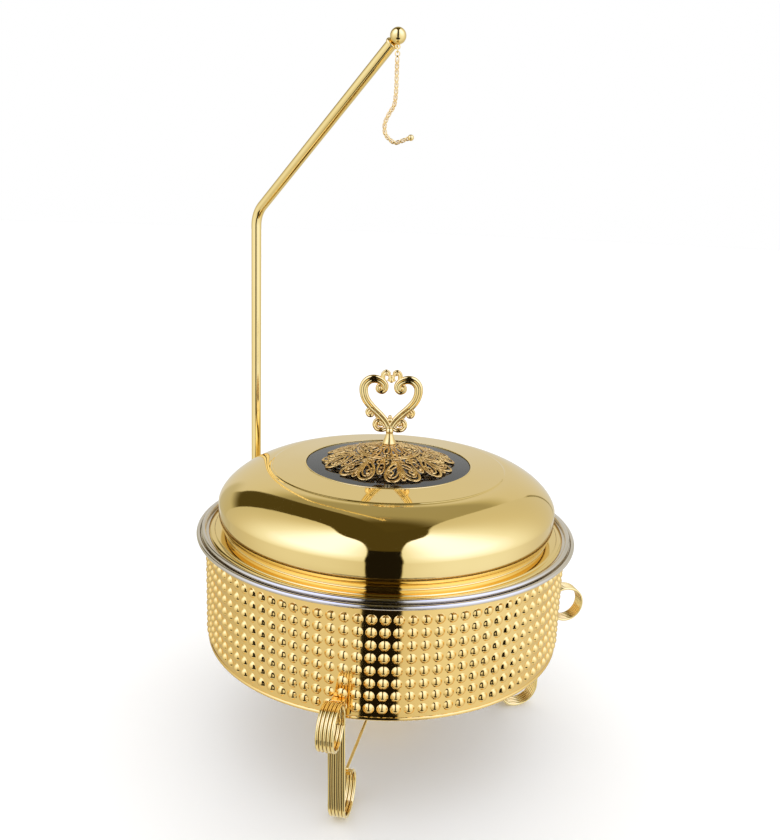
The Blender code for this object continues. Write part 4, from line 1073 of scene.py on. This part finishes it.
# ---------------------------------------------------------------- lid hook
HOOK_SHANK = 30 * MM
LOOSE_RING_RADIUS = 2.6 * MM
SLIM_WIRE = 0.5 * MM          # the loose ring's wire, the hook's eye and its small links
def add_link(shape, centre, turn, half_width, half_length, wire, tilt=None):
    """Adds an oval chain link: long side up, turned about its length, then tilted."""
    straight = half_length - half_width
    oval = [(x, z + straight) for x, z in arc(0, 0, half_width, 0, 180, 8)]
    oval += [(x, z - straight) for x, z in arc(0, 0, half_width, 180, 360, 8)]
    loop = bmesh.new()
    sweep(loop, oval, circle_section(wire, 8), closed=True, matrix=UPRIGHT)
    settle(loop)
    pose = (tilt or Matrix.Identity(4)) @ Matrix.Rotation(turn, 4, "Z")
    bmesh.ops.transform(loop, matrix=Matrix.Translation(centre) @ pose, verts=loop.verts)
    join_bmesh(shape, loop)


def hook_route():
    """The hook's middle line in its own plane, from its eye down to its tip."""
    bend = 44.5 * MM
    side = 9.4 * MM
    tip = 15.2 * MM
    chosen = [(0.0, 0.0), (-0.14, 0.26), (-0.54, 0.41), (-0.94, 0.59), (-1.0, 0.72),
              (-0.89, 0.84), (-0.52, 0.93), (0.03, 1.0)]
    points = [(0.0, HOOK_SHANK), (0.0, 0.5 * HOOK_SHANK)] + [(side * x, -bend * z) for x, z in chosen]
    points += [(0.35 * tip, -0.975 * bend), (0.68 * tip, -0.93 * bend), (tip, -0.89 * bend)]
    return smooth_route(points, 24)


def make_hook():
    """The hook of brazed chain links with a ball on its tip, and the loose ring it hangs from."""
    centre_z = (link_low.z + link_high.z) / 2
    shape = bmesh.new()
    ring = Vector((BALL_CENTRE.x, BALL_CENTRE.y, centre_z))
    add_link(shape, ring, math.pi / 2, LOOSE_RING_RADIUS, LOOSE_RING_RADIUS, SLIM_WIRE)
    finish(add_piece("loose_ring", shape), ROD_GOLD, "hook_ring", "gold_plate", "hook_ring")
    route = hook_route()
    top = hook_high.z - 0.6 * MM
    drop = top - 4.0 * MM - HOOK_SHANK - 0.6 * MM
    pitch = 2.7 * MM
    half_length = 2.6 * MM
    shape = bmesh.new()
    eye = Vector((BALL_CENTRE.x, BALL_CENTRE.y, hook_high.z - EYE_RADIUS - 0.6 * MM))
    add_link(shape, eye, 0.0, EYE_RADIUS, EYE_RADIUS, SLIM_WIRE)
    walked = 0.0
    target = half_length
    count = 0
    for (x0, z0), (x1, z1) in zip(route, route[1:]):
        length = math.hypot(x1 - x0, z1 - z0)
        while walked + length >= target:
            t = (target - walked) / length
            x, z = x0 + (x1 - x0) * t, z0 + (z1 - z0) * t
            tilt = Matrix.Rotation(math.atan2(x1 - x0, z1 - z0) + math.pi, 4, "Y")
            spot = Vector((BALL_CENTRE.x + x, BALL_CENTRE.y, drop + z))
            add_link(shape, spot, (count % 2) * math.pi / 2, 1.45 * MM, half_length, SLIM_WIRE, tilt)
            target += pitch
            count += 1
        walked += length
    core = [(BALL_CENTRE.x + x, drop + z) for x, z in route]
    sweep(shape, core[8:], circle_section(0.42 * MM, 8),
          matrix=Matrix.Translation((0, BALL_CENTRE.y, 0)) @ UPRIGHT)
    tip = route[-1]
    add_ball(shape, (BALL_CENTRE.x + tip[0], BALL_CENTRE.y, drop + tip[1]), 2.9 * MM, 24, 16)
    finish(add_piece("chain_hook", shape), CAST_GOLD, "lid_hook", "gold_plate", "lid_hook")


# ---------------------------------------------------------------- room, light and camera
def make_floor():
    """A plain pale floor."""
    shape = bmesh.new()
    bmesh.ops.create_circle(shape, cap_ends=True, segments=96, radius=14.0)
    floor = add_piece("floor", shape)
    floor.location.z = -0.2 * MM
    material = bpy.data.materials.new("pale_floor")
    material.use_nodes = True
    tree = material.node_tree
    shader = tree.nodes["Principled BSDF"]
    coords = tree.nodes.new("ShaderNodeTexCoord").outputs["Object"]
    tone = place_group(tree, PLATE_TONE, {"Vector": coords, "Light": (0.97, 0.97, 0.97, 1.0),
                                          "Deep": (0.95, 0.95, 0.95, 1.0), "Scale": 2.0})
    tree.links.new(tone.outputs["Color"], shader.inputs["Base Color"])
    shader.inputs["Roughness"].default_value = 0.7
    shader.inputs["Specular IOR Level"].default_value = 0.2
    floor.data.materials.append(material)
    floor.visible_glossy = False


def band(tree, value, low, high, soft):
    """A mask that is 1 between two values, with soft edges."""
    rise = remap(tree, value, low - soft, low + soft, 0.0, 1.0, smooth=True)
    fall = remap(tree, value, high - soft, high + soft, 1.0, 0.0, smooth=True)
    return math_node(tree, "MULTIPLY", rise, fall)


def soft_box(tree, azimuth, elevation, centre, half_width, top, hot_spot, hot_width, base, fall_off, foot):
    """A big light with rounded corners: puts out its mask and its brightness inside."""
    middle = 10.0
    across = math_node(tree, "ABSOLUTE", math_node(tree, "DIVIDE", math_node(
        tree, "SUBTRACT", azimuth, centre), half_width))
    up = math_node(tree, "DIVIDE", math_node(tree, "SUBTRACT", elevation, middle), top - middle)
    up = math_node(tree, "MAXIMUM", up, 0.0)
    reach = math_node(tree, "ADD", math_node(tree, "POWER", across, 4.5), math_node(tree, "POWER", up, 4.5))
    mask = remap(tree, reach, 0.97, 1.05, 1.0, 0.0, smooth=True)
    away = math_node(tree, "ABSOLUTE", math_node(tree, "DIVIDE", math_node(
        tree, "SUBTRACT", azimuth, hot_spot), hot_width))
    glow = math_node(tree, "EXPONENT", math_node(tree, "MULTIPLY", math_node(tree, "POWER", away, 3.0), -1.0))
    drop = remap(tree, elevation, -40.0, 32.0, foot, 1.0)
    inside = math_node(tree, "ADD", math_node(tree, "MULTIPLY", math_node(
        tree, "MULTIPLY", glow, drop), fall_off), base)
    return mask, inside


def blend(tree, below, above, mask):
    """Lays one value over another by a mask."""
    node = tree.nodes.new("ShaderNodeMix")
    node.data_type = "FLOAT"
    tree.links.new(mask, node.inputs["Factor"])
    for label, value in (("A", below), ("B", above)):
        if isinstance(value, bpy.types.NodeSocket):
            tree.links.new(value, node.inputs[label])
        else:
            node.inputs[label].default_value = value
    return node.outputs["Result"]


LIGHT_TONES = [(0.00, (0.012, 0.010, 0.007)), (0.06, (0.086, 0.069, 0.022)), (0.30, (0.528, 0.512, 0.393)),
               (0.45, (0.715, 0.715, 0.690)), (0.60, (0.880, 0.930, 1.060)),
               (0.75, (1.020, 1.130, 1.430)), (0.88, (1.200, 1.380, 2.100)),
               (1.00, (1.500, 1.700, 3.000))]


def light_tone(tree, level):
    """Turns a brightness into the colour of the light: dim and warm, or bright and cool."""
    ramp = tree.nodes.new("ShaderNodeValToRGB")
    ramp.color_ramp.interpolation = "LINEAR"
    first, *middle, last = LIGHT_TONES
    ramp.color_ramp.elements[0].position = first[0]
    ramp.color_ramp.elements[0].color = (*first[1], 1.0)
    ramp.color_ramp.elements[1].position = last[0]
    ramp.color_ramp.elements[1].color = (*last[1], 1.0)
    for position, colour in middle:
        ramp.color_ramp.elements.new(position).color = (*colour, 1.0)
    tree.links.new(level, ramp.inputs[0])
    return ramp.outputs["Color"]


def make_world():
    """Two big soft boxes with a dark gap, dim walls and ceiling, and a dark strip low in front."""
    world = bpy.data.worlds.new("studio")
    bpy.context.scene.world = world
    world.use_nodes = True
    world.cycles.sampling_method = "NONE"
    tree = world.node_tree
    tree.nodes.clear()
    ray = tree.nodes.new("ShaderNodeTexCoord").outputs["Generated"]
    parts = tree.nodes.new("ShaderNodeSeparateXYZ")
    tree.links.new(ray, parts.inputs[0])
    front = math_node(tree, "MULTIPLY", parts.outputs["Y"], -1.0)
    azimuth = math_node(tree, "MULTIPLY", math_node(tree, "ARCTAN2", parts.outputs["X"], front), 57.2958)
    elevation = math_node(tree, "MULTIPLY", math_node(tree, "ARCSINE", parts.outputs["Z"]), 57.2958)
    back_wall = remap(tree, elevation, 30.0, 42.0, 0.45, 0.22, smooth=True)
    back_wall = blend(tree, back_wall, 0.06, remap(tree, elevation, 60.0, 76.0, 0.0, 1.0, smooth=True))
    lean = math_node(tree, "MULTIPLY", math_node(tree, "MAXIMUM", math_node(
        tree, "SUBTRACT", elevation, 20.0), 0.0), 0.35)
    swung = math_node(tree, "ADD", azimuth, lean)
    behind = math_node(tree, "SUBTRACT", 1.0, band(tree, swung, -143.0, 149.0, 0.8))
    middle = math_node(tree, "MULTIPLY", band(tree, azimuth, -24.0, 24.0, 3.0),
                       remap(tree, elevation, 50.0, 54.0, 1.0, 0.0, smooth=True))
    level = blend(tree, 0.055, 0.0, middle)
    level = blend(tree, level, back_wall, behind)
    low_back = math_node(tree, "MULTIPLY", band(tree, azimuth, -150.0, -120.0, 2.0),
                         remap(tree, elevation, 10.0, 22.0, 1.0, 0.0, smooth=True))
    level = blend(tree, level, 0.33, low_back)
    left, left_level = soft_box(tree, azimuth, elevation, -70.0, 57.5, 71.0, -52.0, 50.0, 0.36, 0.64, 0.15)
    right, right_level = soft_box(tree, azimuth, elevation, 80.0, 68.0, 74.0, 58.0, 50.0, 0.42, 0.58, 0.32)
    level = blend(tree, level, left_level, left)
    level = blend(tree, level, right_level, right)
    table_edge = math_node(tree, "MULTIPLY", band(tree, azimuth, -36.0, 36.0, 2.0),
                           band(tree, elevation, -58.0, -34.0, 0.4))
    level = blend(tree, level, 0.0, table_edge)
    under = remap(tree, elevation, -70.0, -58.0, 1.0, 0.0, smooth=True)
    level = blend(tree, level, 0.55, under)
    rays = tree.nodes.new("ShaderNodeLightPath")
    studio = tree.nodes.new("ShaderNodeBackground")
    tree.links.new(light_tone(tree, level), studio.inputs["Color"])
    paper = tree.nodes.new("ShaderNodeBackground")
    paper.inputs["Color"].default_value = (1.0, 1.0, 1.0, 1.0)
    fill = math_node(tree, "MULTIPLY", rays.outputs["Is Diffuse Ray"], 0.22)
    tree.links.new(math_node(tree, "ADD", fill, 1.0), paper.inputs["Strength"])
    mix = tree.nodes.new("ShaderNodeMixShader")
    out = tree.nodes.new("ShaderNodeOutputWorld")
    plain_rays = math_node(tree, "MAXIMUM", rays.outputs["Is Camera Ray"], rays.outputs["Is Diffuse Ray"])
    tree.links.new(plain_rays, mix.inputs[0])
    tree.links.new(studio.outputs[0], mix.inputs[1])
    tree.links.new(paper.outputs[0], mix.inputs[2])
    tree.links.new(mix.outputs[0], out.inputs["Surface"])


def make_camera():
    """The viewing angle: a little above the rim, level with the hook, rolled slightly."""
    camera = bpy.data.cameras.new("view")
    camera.lens = 37.5
    camera.sensor_width = 36.0
    camera.clip_end = 60.0
    seat = bpy.data.objects.new("view", camera)
    bpy.context.scene.collection.objects.link(seat)
    rim_plane = water_high.z - 0.2 * MM
    seat.location = AXIS + Vector((0.0, -4.448 * RIM_RADIUS, rim_plane + 1.6966 * RIM_RADIUS))
    pitch = math.radians(14.13)
    roll = math.radians(2.233)
    aim = Matrix.Rotation(math.pi / 2 - pitch, 4, "X") @ Matrix.Rotation(roll, 4, "Z")
    seat.rotation_euler = aim.to_euler()
    bpy.context.scene.camera = seat
    bpy.context.scene.view_settings.view_transform = "Standard"


make_world()
make_floor()
make_camera()
make_drum()
make_pearls()
make_pans()
make_lid()
make_window()
make_rosette()
make_handle()
make_fixings()
make_legs()
make_burner()
make_pole()
make_socket()
make_hook()
